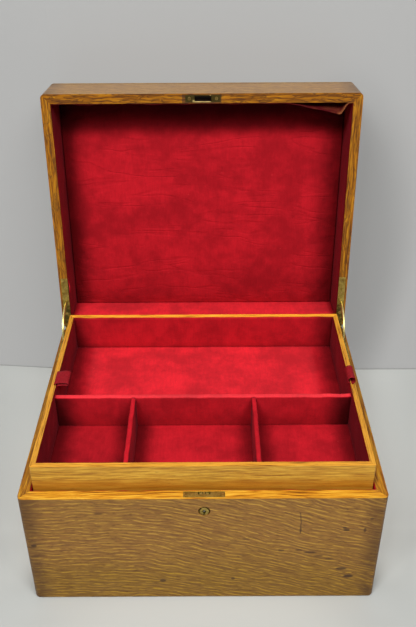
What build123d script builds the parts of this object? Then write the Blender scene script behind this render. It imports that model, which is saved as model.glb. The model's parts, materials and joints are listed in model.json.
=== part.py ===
from build123d import *
import math
import os

# A silverware chest in oak, shown open: a mitred base with a lined well, a lift-out tray,
# a lined lid on two quadrant hinges, and a mortise lock whose two claws hook into the lid.
# Millimetres. X runs to the right, Y to the back, Z up. The origin is the middle of the underside.

os.makedirs("parts", exist_ok=True)

# The case
chest_width = 432.0
chest_depth = 352.0
base_height = 180.0
lid_height = 79.0
wall = 12.7
bottom_thickness = 9.5
bottom_rabbet = 6.35
lid_top_thickness = 12.7
corner_radius = 6.0
edge_radius = 5.0
rim_gap = 0.3
lid_open_angle = 95.5

# Velvet linings, glued down
velvet = 1.0
velvet_drop = 0.6
well_floor_lining_thickness = 1.3
lid_pad_thickness = 9.0
lid_pad_edge = 3.5
lid_pad_gap = 0.3

# The lift-out tray
tray_side_gap = 3.3
tray_back_gap = 2.9
tray_closing_gap = 2.7
tray_proud = 35.5
tray_wall = 6.35
tray_corner_radius = 1.5
tray_inner_depth = 55.1
tray_bottom_thickness = 3.2
tray_bottom_groove = 3.0
tray_bottom_inset = 2.0
tray_velvet = 0.8
tray_floor_velvet = 1.1
divider_drop = 7.0
divider_velvet = 0.6
divider_round = 1.2
long_divider_core = 5.0
long_divider_front = 133.6
short_divider_core = 4.0
short_divider_left_x = -90.5
short_divider_right_x = 66.2

# The strips that carry the tray
cleat_width = 10.0
cleat_height = 12.0
cleat_end_gap = 0.3
cleat_screw_inset = 30.0
cleat_screw_bite = 6.0

# Ribbon pulls, glued between the tray's end walls and their lining
ribbon_width = 27.0
ribbon_thickness = 0.5
ribbon_tail_length = 24.0
ribbon_offset = 3.7
loop_root_radius = 1.6
loop_end_radius = 2.4
loop_length = 13.2
loop_seat_gap = 0.2
loop_lean = 15.0

# Quadrant hinges
leaf_thickness = 2.0
leaf_outer_strip = 2.9
leaf_length = 84.0
knuckle_radius = 2.1
knuckle_gap = 0.2
knuckle_side_gap = 0.1
hinge_pin_radius = 1.0
hinge_pin_clearance = 0.05
stay_radius = 42.0
stay_width = 5.0
stay_thickness = 2.0
stay_outer_gap = 3.1
stay_slot_gap = 0.3
stay_slot_slack = 1.1
stay_head_width = 5.0
stay_head_gap = 0.2
stay_head_span = 5.0
stay_mortise_gap = 0.4
stay_mortise_end = 1.5
leaf_screw_inset = 6.0
leaf_screw_spacing = 20.0
leaf_screw_back = 25.0

# Wood screws
screw_head_radius = 2.3
screw_head_depth = 1.4
screw_shank_radius = 1.2
screw_length = 10.0
screw_slot_width = 0.7
screw_slot_depth = 0.5
small_screw_head_radius = 2.1
small_screw_shank_radius = 1.0

# The lock, let into the front board
lock_x = 1.5
lock_case_half_width = 20.0
lock_case_depth = 34.0
lock_case_thickness = 6.4
lock_back_gap = 1.5
lock_sheet = 0.8
lock_mortise_gap = 0.2
selvedge_wing = 4.5
selvedge_front_reach = 2.9
selvedge_back_reach = 0.1
selvedge_thickness = 2.0
selvedge_screw_inset = 2.3
claw_pivot_inset = 3.5
claw_pivot_drop = 7.0
claw_middle_gap = 0.8
claw_width = 3.8
claw_back_gap = 0.3
claw_thickness = 2.8
claw_top_drop = 0.2
claw_tail_angle = 60.0
claw_web_angle = 22.0
claw_hub_radius = 2.4
claw_pin_radius = 1.0
claw_pin_clearance = 0.05
claw_collar_radius = 1.8
claw_side_gap = 0.2
claw_slot_gap = 0.3
nozzle_radius = 5.75
nozzle_drop = 22.4
nozzle_recess = 0.8
nozzle_round = 0.6
nozzle_hole_gap = 0.35
nozzle_hole_rise = 1.2
keyhole_radius = 2.3
key_slot_width = 1.9
key_slot_length = 4.7
drill_pin_radius = 1.0
drill_pin_recess = 1.6

# The strike plate in the lid
strike_opening_half = 11.0
strike_opening_front_room = 4.1
strike_opening_back_room = 0.5
strike_recess_side = 4.2
strike_recess_depth = 10.5
strike_screw_gap = 3.0
strike_end = 5.5
strike_lip = 0.4

# Planes and lines that several pieces share
half_width = chest_width / 2
half_depth = chest_depth / 2
front_face = -half_depth
rim_z = base_height
lid_rim_z = rim_z + rim_gap
lid_top_z = rim_z + lid_height
lid_board_z = lid_top_z - lid_top_thickness
inner_x = half_width - wall
inner_y = half_depth - wall
pivot_y = half_depth + knuckle_radius + knuckle_gap
pivot_z = rim_z + rim_gap / 2
pivot_axis = Axis((0, pivot_y, pivot_z), (1, 0, 0))

tray_width = 2 * (inner_x - tray_side_gap)
tray_front_gap = wall + velvet + tray_closing_gap
tray_depth = chest_depth - wall - tray_back_gap - tray_front_gap
tray_top_z = rim_z + tray_proud
tray_height = tray_inner_depth + tray_floor_velvet + tray_bottom_thickness + tray_bottom_inset
tray_z = tray_top_z - tray_height
tray_front = front_face + tray_front_gap
tray_back = tray_front + tray_depth
tray_middle_y = (tray_front + tray_back) / 2
tray_inner_x = tray_width / 2 - tray_wall
tray_inner_front = tray_front + tray_wall
tray_inner_back = tray_back - tray_wall
tray_board_z = tray_z + tray_bottom_inset
tray_floor_z = tray_board_z + tray_bottom_thickness


def block(x0, x1, y0, y1, z0, z1):
    """A box between two corners."""
    size = Box(x1 - x0, y1 - y0, z1 - z0)
    return Pos((x0 + x1) / 2, (y0 + y1) / 2, (z0 + z1) / 2) * size


def mirrored(shape):
    """The same piece on the other side of the chest."""
    return mirror(shape, about=Plane.YZ)


def opened(shape):
    """A lid piece, drawn closed, turned to where the open lid holds it."""
    return shape.rotate(pivot_axis, -lid_open_angle)


def mitred(ring, x, y, thickness, middle_y=0.0):
    """The front, back, left and right boards of a rectangular ring, cut at 45 degrees."""
    over = thickness + 1
    low = ring.bounding_box().min.Z - 1
    high = ring.bounding_box().max.Z + 1
    in_x = x - over
    in_y = y - over
    front = Polyline((-x - 1, -y - 1), (x + 1, -y - 1), (in_x, -in_y), (-in_x, -in_y), close=True)
    side = Polyline((-x - 1, -y - 1), (-in_x, -in_y), (-in_x, in_y), (-x - 1, y + 1), close=True)
    front_cut = Pos(0, middle_y, low) * extrude(make_face(front), high - low)
    left_cut = Pos(0, middle_y, low) * extrude(make_face(side), high - low)
    back_cut = Pos(0, 2 * middle_y, 0) * mirror(front_cut, about=Plane.XZ)
    right_cut = mirror(left_cut, about=Plane.YZ)
    return [ring & cut for cut in (front_cut, back_cut, left_cut, right_cut)]


def sector(radius_in, radius_out, start, end, x0, x1):
    """Part of a ring about the hinge pivot; angles rise from the front rim towards upright."""
    points = []
    steps = (start, (start + end) / 2, end)
    for radius in (radius_out, radius_in):
        turn = [math.radians(a) for a in steps]
        points.append([(-radius * math.cos(a), radius * math.sin(a)) for a in turn])
    outer, inner = points
    sides = Line(outer[2], inner[2]) + Line(inner[0], outer[0])
    wires = ThreePointArc(*outer) + ThreePointArc(*inner) + sides
    face = Plane(origin=(x0, pivot_y, pivot_z), x_dir=(0, 1, 0), z_dir=(1, 0, 0)) * make_face(wires)
    return extrude(face, x1 - x0)


def screw(head_radius=screw_head_radius, shank_radius=screw_shank_radius, slotted=True):
    """A countersunk wood screw with its head at the origin, pointing down."""
    drawn = Pos(0, 0, -screw_head_depth / 2) * Cone(shank_radius, head_radius, screw_head_depth)
    shank = screw_length - screw_head_depth
    drawn += Pos(0, 0, -screw_head_depth - shank / 2) * Cylinder(shank_radius, shank)
    if slotted:
        drawn -= block(-head_radius, head_radius, -screw_slot_width / 2, screw_slot_width / 2,
                       -screw_slot_depth, 1)
    return drawn


def save(name, *solids):
    """One node: one solid, or a group of separate ones."""
    shape = solids[0] if len(solids) == 1 else Compound(children=[Compound(s.solids()) for s in solids])
    export_step(shape, f"parts/{name}.step")


# Quadrant hinges, drawn for the left side
leaf_x0 = -half_width + leaf_outer_strip
leaf_x1 = -inner_x
leaf_middle_x = (leaf_x0 + leaf_x1) / 2
leaf_front = pivot_y - leaf_length
knuckle_width = (leaf_x1 - leaf_x0 - 2 * knuckle_side_gap) / 3
stay_x0 = leaf_x0 + stay_outer_gap
stay_x1 = stay_x0 + stay_thickness
slot_x0 = stay_x0 - stay_slot_gap
slot_x1 = stay_x1 + stay_slot_slack
stay_inner = stay_radius - stay_width / 2
stay_outer = stay_radius + stay_width / 2
leaf_reach = leaf_thickness + rim_gap / 2
stay_head_start = math.degrees(math.asin((leaf_reach + stay_head_gap) / stay_inner))
stay_end = stay_head_start + stay_head_span
slot_near = math.sqrt(stay_inner**2 - leaf_reach**2) - stay_slot_gap
head_x0 = (slot_x0 + slot_x1 - stay_head_width) / 2
head_x1 = head_x0 + stay_head_width


def knuckle(x0, x1, bore):
    """One barrel of the hinge, on the pivot."""
    turned = Rot(0, 90, 0) * (Cylinder(knuckle_radius, x1 - x0) - Cylinder(bore, x1 - x0))
    return Pos((x0 + x1) / 2, pivot_y, pivot_z) * turned


def leaf(lower, upper, barrels, bore):
    """A leaf with its barrels, its slot for the stay and its countersunk holes."""
    flat = block(leaf_x0, leaf_x1, leaf_front, pivot_y, lower, upper)
    whole = Rot(0, 90, 0) * Cylinder(knuckle_radius + knuckle_gap, leaf_x1 - leaf_x0)
    drawn = flat - Pos(leaf_middle_x, pivot_y, pivot_z) * whole
    hole = Pos(leaf_middle_x, pivot_y, pivot_z) * Rot(0, 90, 0) * Cylinder(bore, leaf_x1 - leaf_x0)
    for x0, x1 in barrels:
        drawn += block(x0, x1, pivot_y - knuckle_radius - 1, pivot_y, lower, upper)
        drawn += knuckle(x0, x1, bore)
    drawn -= hole
    drawn -= block(slot_x0, slot_x1, pivot_y - stay_outer - stay_slot_gap,
                   pivot_y - slot_near, lower - 1, upper + 1)
    return drawn


base_barrels = [(leaf_x0, leaf_x0 + knuckle_width), (leaf_x1 - knuckle_width, leaf_x1)]
lid_barrels = [(leaf_x0 + knuckle_width + knuckle_side_gap, leaf_x1 - knuckle_width - knuckle_side_gap)]
base_leaf = leaf(rim_z - leaf_thickness, rim_z, base_barrels, hinge_pin_radius)
lid_leaf = leaf(lid_rim_z, lid_rim_z + leaf_thickness, lid_barrels, hinge_pin_radius + hinge_pin_clearance)
hinge_pin = Rot(0, 90, 0) * Cylinder(hinge_pin_radius, leaf_x1 - leaf_x0)
hinge_pin = Pos(leaf_middle_x, pivot_y, pivot_z) * hinge_pin

leaf_screw_end = leaf_length - leaf_screw_inset
leaf_screw_places = (leaf_screw_end, leaf_screw_end - leaf_screw_spacing, leaf_screw_back)
leaf_screw_spots = [(leaf_middle_x, pivot_y - place) for place in leaf_screw_places]
base_leaf_screws = [Pos(x, y, rim_z) * screw() for x, y in leaf_screw_spots]
base_leaf_holes = [Pos(x, y, rim_z) * screw(slotted=False) for x, y in leaf_screw_spots]
lid_leaf_screws = [Pos(x, y, lid_rim_z) * Rot(180, 0, 0) * screw() for x, y in leaf_screw_spots]
lid_leaf_holes = [Pos(x, y, lid_rim_z) * Rot(180, 0, 0) * screw(slotted=False) for x, y in leaf_screw_spots]
for base_hole, lid_hole in zip(base_leaf_holes, lid_leaf_holes):
    base_leaf -= base_hole
    lid_leaf -= lid_hole

# The stay lies half in the base and half in the lid when shut; its heads stop the open lid
stay_left = sector(stay_inner, stay_outer, -stay_end, lid_open_angle + stay_end, stay_x0, stay_x1)
for start in (-stay_end, lid_open_angle + stay_head_start):
    stay_left += sector(stay_inner, stay_outer, start, start + stay_head_span, head_x0, head_x1)

mortise_span = lid_open_angle / 2 + stay_end + stay_mortise_end
mortise = sector(stay_inner - stay_mortise_gap, stay_outer + stay_mortise_gap, -mortise_span, mortise_span,
                 head_x0 - stay_mortise_gap, head_x1 + stay_mortise_gap)
base_leaf_pocket = block(leaf_x0, leaf_x1, leaf_front, pivot_y, rim_z - leaf_thickness, rim_z + 1)
lid_leaf_pocket = block(leaf_x0, leaf_x1, leaf_front, pivot_y, lid_rim_z - 1, lid_rim_z + leaf_thickness)

# The lock and its strike, drawn about the lock's middle, with Y counted from the front face
lock_case_front = wall - lock_back_gap - lock_case_thickness
case_back = lock_case_front + lock_case_thickness
selvedge_front = lock_case_front - selvedge_front_reach
selvedge_back = case_back + selvedge_back_reach
selvedge_half_length = lock_case_half_width + selvedge_wing
selvedge_screw_x = selvedge_half_length - selvedge_screw_inset
case_top = -selvedge_thickness
case_low = case_top - lock_case_depth
cap_face = case_back - lock_sheet
claw_back = cap_face - claw_back_gap
claw_front = claw_back - claw_thickness
claw_pivot_x = lock_case_half_width - claw_pivot_inset
claw_outer_radius = claw_pivot_x - claw_middle_gap
claw_inner_radius = claw_outer_radius - claw_width
lock_place = Pos(lock_x, front_face, rim_z)


def disc(radius, x, y0, y1, z):
    """A round bar along Y."""
    return Pos(x, (y0 + y1) / 2, z) * Rot(90, 0, 0) * Cylinder(radius, y1 - y0)


def key_opening(y0, y1):
    """The keyhole's round and its slot, along Y."""
    half = key_slot_width / 2
    cut = disc(keyhole_radius, 0, y0, y1, -nozzle_drop)
    return cut + block(-half, half, y0, y1, -nozzle_drop - key_slot_length, -nozzle_drop)


def claw_sector(radius_in, radius_out, start, end, y0, y1):
    """Part of a ring about the left claw's pivot; angles rise from level towards upright."""
    steps = [math.radians(a) for a in (start, (start + end) / 2, end)]
    outer = [(radius_out * math.cos(a), radius_out * math.sin(a)) for a in steps]
    inner = [(radius_in * math.cos(a), radius_in * math.sin(a)) for a in steps]
    sides = Line(outer[2], inner[2]) + Line(inner[0], outer[0])
    wires = ThreePointArc(*outer) + ThreePointArc(*inner) + sides
    plane = Plane(origin=(-claw_pivot_x, y1, -claw_pivot_drop), x_dir=(1, 0, 0), z_dir=(0, -1, 0))
    return extrude(plane * make_face(wires), y1 - y0)


claw_tip_angle = math.degrees(math.asin((claw_pivot_drop - claw_top_drop) / claw_outer_radius))
claw = claw_sector(claw_inner_radius, claw_outer_radius, -claw_tail_angle, claw_tip_angle,
                   claw_front, claw_back)
claw += claw_sector(claw_pin_radius, claw_outer_radius, -claw_tail_angle,
                    claw_web_angle - claw_tail_angle, claw_front, claw_back)
claw += disc(claw_hub_radius, -claw_pivot_x, claw_front, claw_back, -claw_pivot_drop)
claw -= disc(claw_pin_radius + claw_pin_clearance, -claw_pivot_x, claw_front, claw_back, -claw_pivot_drop)

claw_pin = disc(claw_pin_radius, -claw_pivot_x, lock_case_front + lock_sheet, cap_face, -claw_pivot_drop)
claw_pin += disc(claw_collar_radius, -claw_pivot_x, lock_case_front + lock_sheet,
                 claw_front - claw_side_gap, -claw_pivot_drop)

slot_drop = claw_pivot_drop - selvedge_thickness
slot_reach_out = math.sqrt((claw_outer_radius + claw_slot_gap) ** 2 - slot_drop ** 2)
slot_reach_in = math.sqrt((claw_inner_radius - claw_slot_gap) ** 2 - claw_pivot_drop ** 2)
claw_slot = block(slot_reach_in - claw_pivot_x, slot_reach_out - claw_pivot_x,
                  claw_front - claw_slot_gap, claw_back + claw_slot_gap, -selvedge_thickness - 1, 1)
selvedge = block(-selvedge_half_length, selvedge_half_length, selvedge_front, selvedge_back,
                 -selvedge_thickness, 0)
selvedge_pocket = block(-selvedge_half_length, selvedge_half_length, selvedge_front, selvedge_back,
                        -selvedge_thickness, 1)
selvedge -= claw_slot
selvedge -= mirrored(claw_slot)
selvedge_middle = (selvedge_front + selvedge_back) / 2
lock_screw_spots = [Pos(side * selvedge_screw_x, selvedge_middle, 0) for side in (-1, 1)]
small = (small_screw_head_radius, small_screw_shank_radius)
lock_screws = [spot * screw(*small) for spot in lock_screw_spots]
lock_holes = [spot * screw(*small, slotted=False) for spot in lock_screw_spots]
for hole in lock_holes:
    selvedge -= hole

inner_half = lock_case_half_width - lock_sheet
lock_case = block(-lock_case_half_width, lock_case_half_width, lock_case_front, cap_face, case_low, case_top)
lock_case -= block(-inner_half, inner_half, lock_case_front + lock_sheet, cap_face,
                   case_low + lock_sheet, case_top)
lock_case -= key_opening(lock_case_front - 1, lock_case_front + lock_sheet + 1)
lock_cap = block(-lock_case_half_width, lock_case_half_width, cap_face, case_back, case_low, case_top)
nozzle = disc(nozzle_radius, 0, nozzle_recess, lock_case_front, -nozzle_drop)
nozzle -= key_opening(nozzle_recess - 1, lock_case_front + 1)
nozzle = fillet(nozzle.edges().filter_by(GeomType.CIRCLE).group_by(Axis.Y)[0].sort_by(SortBy.RADIUS)[-1],
                nozzle_round)
drill_pin = disc(drill_pin_radius, 0, drill_pin_recess, cap_face, -nozzle_drop)

mortise_half = lock_case_half_width + lock_mortise_gap
lock_mortise = block(-mortise_half, mortise_half, lock_case_front - lock_mortise_gap,
                     case_back + lock_mortise_gap, case_low - lock_mortise_gap, case_top)
nozzle_hole_radius = nozzle_radius + nozzle_hole_rise + nozzle_hole_gap
nozzle_hole = disc(nozzle_hole_radius, 0, -1, lock_case_front, nozzle_hole_rise - nozzle_drop)

strike_face = rim_gap
strike_back = strike_face + leaf_thickness
strike_opening_front = claw_front - strike_opening_front_room
strike_opening_back = claw_back + strike_opening_back_room
strike_recess_half = strike_opening_half + strike_recess_side
strike_screw_x = strike_recess_half + strike_screw_gap
strike_half_length = strike_screw_x + strike_end
strike_pocket = block(-strike_half_length, strike_half_length, selvedge_front, selvedge_back, 0, strike_back)
strike = block(-strike_half_length, strike_half_length, selvedge_front, selvedge_back,
               strike_face, strike_back)
strike_opening = block(-strike_opening_half, strike_opening_half, strike_opening_front, strike_opening_back,
                       strike_face - 1, strike_back + 1)
strike -= strike_opening
mouth = strike.edges().group_by(Axis.Z)[0].filter_by(
    lambda e: abs(e.center().X) < strike_opening_half + 0.1
    and strike_opening_front - 0.1 < e.center().Y < strike_opening_back + 0.1)
strike = chamfer(mouth, strike_lip)
strike_recess = block(-strike_recess_half, strike_recess_half, strike_opening_front, strike_opening_back,
                      strike_face, strike_back + strike_recess_depth)
strike_spots = [Pos(side * strike_screw_x, selvedge_middle, strike_face) * Rot(180, 0, 0) for side in (-1, 1)]
strike_screws = [spot * screw() for spot in strike_spots]
strike_holes = [spot * screw(slotted=False) for spot in strike_spots]
for hole in strike_holes:
    strike -= hole

# The base: four mitred boards round a bottom let into a rabbet
base_block = block(-half_width, half_width, -half_depth, half_depth, 0, base_height)
base_block = fillet(base_block.edges().filter_by(Axis.Z), corner_radius)
base_block = fillet(base_block.edges().group_by(Axis.Z)[0], edge_radius)
base_ring = base_block - block(-inner_x, inner_x, -inner_y, inner_y, -1, base_height + 1)
bottom_x = inner_x + bottom_rabbet
bottom_y = inner_y + bottom_rabbet
bottom_board = block(-bottom_x, bottom_x, -bottom_y, bottom_y, 0, bottom_thickness)
base_ring -= bottom_board
front_board, back_board, left_board, right_board = mitred(base_ring, half_width, half_depth, wall)

front_board -= lock_place * lock_mortise
front_board -= lock_place * selvedge_pocket
front_board -= lock_place * nozzle_hole
for hole in lock_holes:
    front_board -= lock_place * hole
left_board -= mortise
left_board -= base_leaf_pocket
for hole in base_leaf_holes:
    left_board -= hole
right_board -= mirrored(mortise)
right_board -= mirrored(base_leaf_pocket)
for hole in base_leaf_holes:
    right_board -= mirrored(hole)
back_board -= base_leaf_pocket
back_board -= mirrored(base_leaf_pocket)

# The lined well
well_floor_z = bottom_thickness + well_floor_lining_thickness
lined_x = inner_x - velvet
lined_y = inner_y - velvet
well_floor = block(-inner_x, inner_x, -inner_y, inner_y, bottom_thickness, well_floor_z)
lining_top = rim_z - velvet_drop
well_front = block(-inner_x, inner_x, -inner_y, -lined_y, well_floor_z, lining_top)
well_back = mirror(well_front, about=Plane.XZ)
well_left = block(-inner_x, -lined_x, -lined_y, lined_y, well_floor_z, lining_top)

cleat = block(-lined_x, -lined_x + cleat_width, -lined_y + cleat_end_gap, lined_y - cleat_end_gap,
              tray_z - cleat_height, tray_z)
cleat_spots = [Pos(-lined_x + cleat_width, y, tray_z - cleat_height / 2) * Rot(0, 90, 0)
               for y in (-lined_y + cleat_screw_inset, 0, lined_y - cleat_screw_inset)]
cleat_screw_reach = screw_length + velvet + cleat_screw_bite
cleat_screws = []
for spot in cleat_spots:
    driven = screw() + Pos(0, 0, -(screw_length + cleat_screw_reach) / 2) * Cylinder(
        screw_shank_radius, cleat_screw_reach - screw_length)
    bored = driven + screw(slotted=False)
    cleat_screws.append(spot * driven)
    cleat -= spot * bored
    well_left -= spot * bored
    left_board -= spot * bored
    right_board -= mirrored(spot * bored)

# The lid, drawn shut
lid_block = block(-half_width, half_width, -half_depth, half_depth, lid_rim_z, lid_top_z)
lid_block = fillet(lid_block.edges().filter_by(Axis.Z), corner_radius)
lid_block = fillet(lid_block.edges().group_by(Axis.Z)[-1], edge_radius)
lid_ring = lid_block - block(-inner_x, inner_x, -inner_y, inner_y, lid_rim_z - 1, lid_top_z + 1)
lid_ring -= block(-half_width, half_width, -half_depth, half_depth, lid_board_z, lid_top_z + 1)
lid_top_board = lid_block & block(-half_width, half_width, -half_depth, half_depth,
                                  lid_board_z, lid_top_z + 1)
lid_front, lid_back, lid_left, lid_right = mitred(lid_ring, half_width, half_depth, wall)

lid_front -= lock_place * strike_pocket
lid_front -= lock_place * strike_recess
for hole in strike_holes:
    lid_front -= lock_place * hole
lid_left -= mortise
lid_left -= lid_leaf_pocket
for hole in lid_leaf_holes:
    lid_left -= hole
lid_right -= mirrored(mortise)
lid_right -= mirrored(lid_leaf_pocket)
for hole in lid_leaf_holes:
    lid_right -= mirrored(hole)
lid_back -= lid_leaf_pocket
lid_back -= mirrored(lid_leaf_pocket)

lid_lining_low = lid_rim_z + velvet_drop
lid_lining_front = block(-inner_x, inner_x, -inner_y, -lined_y, lid_lining_low, lid_board_z)
lid_lining_back = mirror(lid_lining_front, about=Plane.XZ)
lid_lining_left = block(-inner_x, -lined_x, -lined_y, lined_y, lid_lining_low, lid_board_z)
pad_x = lined_x - lid_pad_gap
pad_y = lined_y - lid_pad_gap
lid_pad = block(-pad_x, pad_x, -pad_y, pad_y, lid_board_z - lid_pad_thickness, lid_board_z)
lid_pad = fillet(lid_pad.edges().group_by(Axis.Z)[0], lid_pad_edge)

# The tray: four mitred walls grooved for a thin bottom
tray_x = tray_width / 2
tray_block = block(-tray_x, tray_x, tray_front, tray_back, tray_z, tray_top_z)
tray_block = fillet(tray_block.edges().filter_by(Axis.Z), tray_corner_radius)
tray_ring = tray_block - block(-tray_inner_x, tray_inner_x, tray_inner_front, tray_inner_back,
                               tray_z - 1, tray_top_z + 1)
groove_x = tray_inner_x + tray_bottom_groove
tray_bottom = block(-groove_x, groove_x, tray_inner_front - tray_bottom_groove,
                    tray_inner_back + tray_bottom_groove, tray_board_z, tray_floor_z)
tray_ring -= tray_bottom
tray_walls = mitred(tray_ring, tray_x, tray_depth / 2, tray_wall, tray_middle_y)
tray_front_wall, tray_back_wall, tray_left_wall, tray_right_wall = tray_walls

# Dividers: thin boards with velvet folded over them
divider_top_z = tray_top_z - divider_drop
core_top_z = divider_top_z - divider_velvet
long_front = tray_front + long_divider_front
long_back = long_front + long_divider_core + 2 * divider_velvet
cover_half = short_divider_core / 2 + divider_velvet


def divider(x0, x1, y0, y1, run):
    """A divider's board with a rounded top, the velvet folded over it, and the two as one."""
    side = divider_velvet if run == Axis.Y else 0
    end = divider_velvet if run == Axis.X else 0
    board = block(x0 + side, x1 - side, y0 + end, y1 - end, tray_floor_z, core_top_z)
    board = fillet(board.edges().group_by(Axis.Z)[-1].filter_by(run), divider_round)
    whole = block(x0, x1, y0, y1, tray_floor_z, divider_top_z)
    whole = fillet(whole.edges().group_by(Axis.Z)[-1].filter_by(run), divider_round + divider_velvet)
    return board, whole - board, whole


long_divider, long_cover, long_whole = divider(-tray_inner_x, tray_inner_x, long_front, long_back, Axis.X)
short_divider_left, cover_left, left_whole = divider(
    short_divider_left_x - cover_half, short_divider_left_x + cover_half,
    tray_inner_front, long_front, Axis.Y)
short_divider_right, cover_right, right_whole = divider(
    short_divider_right_x - cover_half, short_divider_right_x + cover_half,
    tray_inner_front, long_front, Axis.Y)

tray_lining_top = tray_top_z - velvet_drop
tray_lined_x = tray_inner_x - tray_velvet
tray_lined_front = tray_inner_front + tray_velvet
tray_lined_back = tray_inner_back - tray_velvet
compartments = {
    "back": (-tray_lined_x, tray_lined_x, long_back, tray_lined_back),
    "front_left": (-tray_lined_x, short_divider_left_x - cover_half, tray_lined_front, long_front),
    "front_middle": (short_divider_left_x + cover_half, short_divider_right_x - cover_half,
                     tray_lined_front, long_front),
    "front_right": (short_divider_right_x + cover_half, tray_lined_x, tray_lined_front, long_front),
}
floor_linings = [block(x0, x1, y0, y1, tray_floor_z, tray_floor_z + tray_floor_velvet)
                 for x0, x1, y0, y1 in compartments.values()]
back_wall_lining = block(-tray_inner_x, tray_inner_x, tray_lined_back, tray_inner_back,
                         tray_floor_z, tray_lining_top)
side_wall_lining = block(-tray_inner_x, -tray_lined_x, tray_lined_front, tray_lined_back,
                         tray_floor_z, tray_lining_top)
side_wall_lining -= long_whole
front_wall_lining = block(-tray_inner_x, tray_inner_x, tray_inner_front, tray_lined_front,
                          tray_floor_z, tray_lining_top)
front_wall_lining -= left_whole
front_wall_lining -= right_whole
wall_linings = [front_wall_lining, side_wall_lining, mirrored(side_wall_lining), back_wall_lining]

# Ribbon pulls: a glued tail in the wall and a folded loop that swings about its top
ribbon_y = tray_middle_y + ribbon_offset
ribbon_y0 = ribbon_y - ribbon_width / 2
ribbon_y1 = ribbon_y + ribbon_width / 2
ribbon_tail = block(-tray_inner_x - ribbon_thickness, -tray_inner_x, ribbon_y0, ribbon_y1,
                    tray_top_z - ribbon_tail_length, tray_top_z)
tray_left_wall -= ribbon_tail
tray_right_wall -= mirrored(ribbon_tail)
loop_x = -tray_inner_x - ribbon_thickness / 2
loop_z = tray_top_z + loop_seat_gap + loop_root_radius


def loop_outline(shrink):
    """The folded ribbon from the side: two rounds of unlike size and the lines that touch both."""
    root = Circle(loop_root_radius - shrink).edge()
    end = Pos(loop_length, 0) * Circle(loop_end_radius - shrink).edge()
    return make_hull(ShapeList([root, end]))


loop_plane = Plane(origin=(loop_x, ribbon_y1, loop_z), x_dir=(1, 0, 0), z_dir=(0, -1, 0))
ribbon_loop = extrude(loop_plane * (loop_outline(0) - loop_outline(ribbon_thickness)), ribbon_width)
loop_axis = Axis((loop_x, ribbon_y, loop_z), (0, 1, 0))
loop_swing = 90 + loop_lean
upright_loop = ribbon_loop.rotate(loop_axis, -loop_swing)

save("front_board", front_board)
save("back_board", back_board)
save("left_board", left_board)
save("right_board", right_board)
save("bottom_board", bottom_board)
save("well_floor_lining", well_floor)
save("well_lining_front", well_front)
save("well_lining_back", well_back)
save("well_lining_left", well_left)
save("well_lining_right", mirrored(well_left))
save("tray_cleats", cleat, mirrored(cleat))
save("cleat_screws", *cleat_screws, *[mirrored(s) for s in cleat_screws])
save("base_hinge_leaf_left", base_leaf)
save("base_hinge_leaf_right", mirrored(base_leaf))
save("base_hinge_screws", *base_leaf_screws, *[mirrored(s) for s in base_leaf_screws])
save("hinge_pins", hinge_pin, mirrored(hinge_pin))
save("hinge_stay_left", stay_left)
save("hinge_stay_right", mirrored(stay_left))
save("lock_case", lock_place * lock_case)
save("lock_cap", lock_place * lock_cap)
save("lock_selvedge", lock_place * selvedge)
save("lock_screws", *[lock_place * s for s in lock_screws])
save("lock_nozzle", lock_place * nozzle)
save("drill_pin", lock_place * drill_pin)
save("claw_pins", lock_place * claw_pin, lock_place * mirrored(claw_pin))
save("claw_left", lock_place * claw)
save("claw_right", lock_place * mirrored(claw))

save("lid_front_rail", opened(lid_front))
save("lid_back_rail", opened(lid_back))
save("lid_left_rail", opened(lid_left))
save("lid_right_rail", opened(lid_right))
save("lid_top_board", opened(lid_top_board))
save("lid_lining_front", opened(lid_lining_front))
save("lid_lining_back", opened(lid_lining_back))
save("lid_lining_left", opened(lid_lining_left))
save("lid_lining_right", opened(mirrored(lid_lining_left)))
save("lid_pad", opened(lid_pad))
save("lid_hinge_leaf_left", opened(lid_leaf))
save("lid_hinge_leaf_right", opened(mirrored(lid_leaf)))
save("lid_hinge_screws", *[opened(s) for s in lid_leaf_screws + [mirrored(s) for s in lid_leaf_screws]])
save("strike_plate", opened(lock_place * strike))
save("strike_screws", *[opened(lock_place * s) for s in strike_screws])

save("tray_front_wall", tray_front_wall)
save("tray_back_wall", tray_back_wall)
save("tray_left_wall", tray_left_wall)
save("tray_right_wall", tray_right_wall)
save("tray_bottom", tray_bottom)
save("long_divider", long_divider)
save("short_divider_left", short_divider_left)
save("short_divider_right", short_divider_right)
save("divider_covers", long_cover, cover_left, cover_right)
save("tray_wall_linings", *wall_linings)
save("tray_floor_linings", *floor_linings)
save("ribbon_tail_left", ribbon_tail)
save("ribbon_tail_right", mirrored(ribbon_tail))
save("ribbon_loop_left", ribbon_loop)
save("ribbon_loop_right", mirrored(upright_loop))

print("pivot", pivot_y, pivot_z)
print("claws", lock_x - claw_pivot_x, lock_x + claw_pivot_x, rim_z - claw_pivot_drop)
print("loop pivot", loop_x, loop_z, "tray", tray_z, tray_top_z)
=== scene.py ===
"""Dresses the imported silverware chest: oak, red velvet, ribbon pulls and brass, on a plain stage."""

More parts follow.
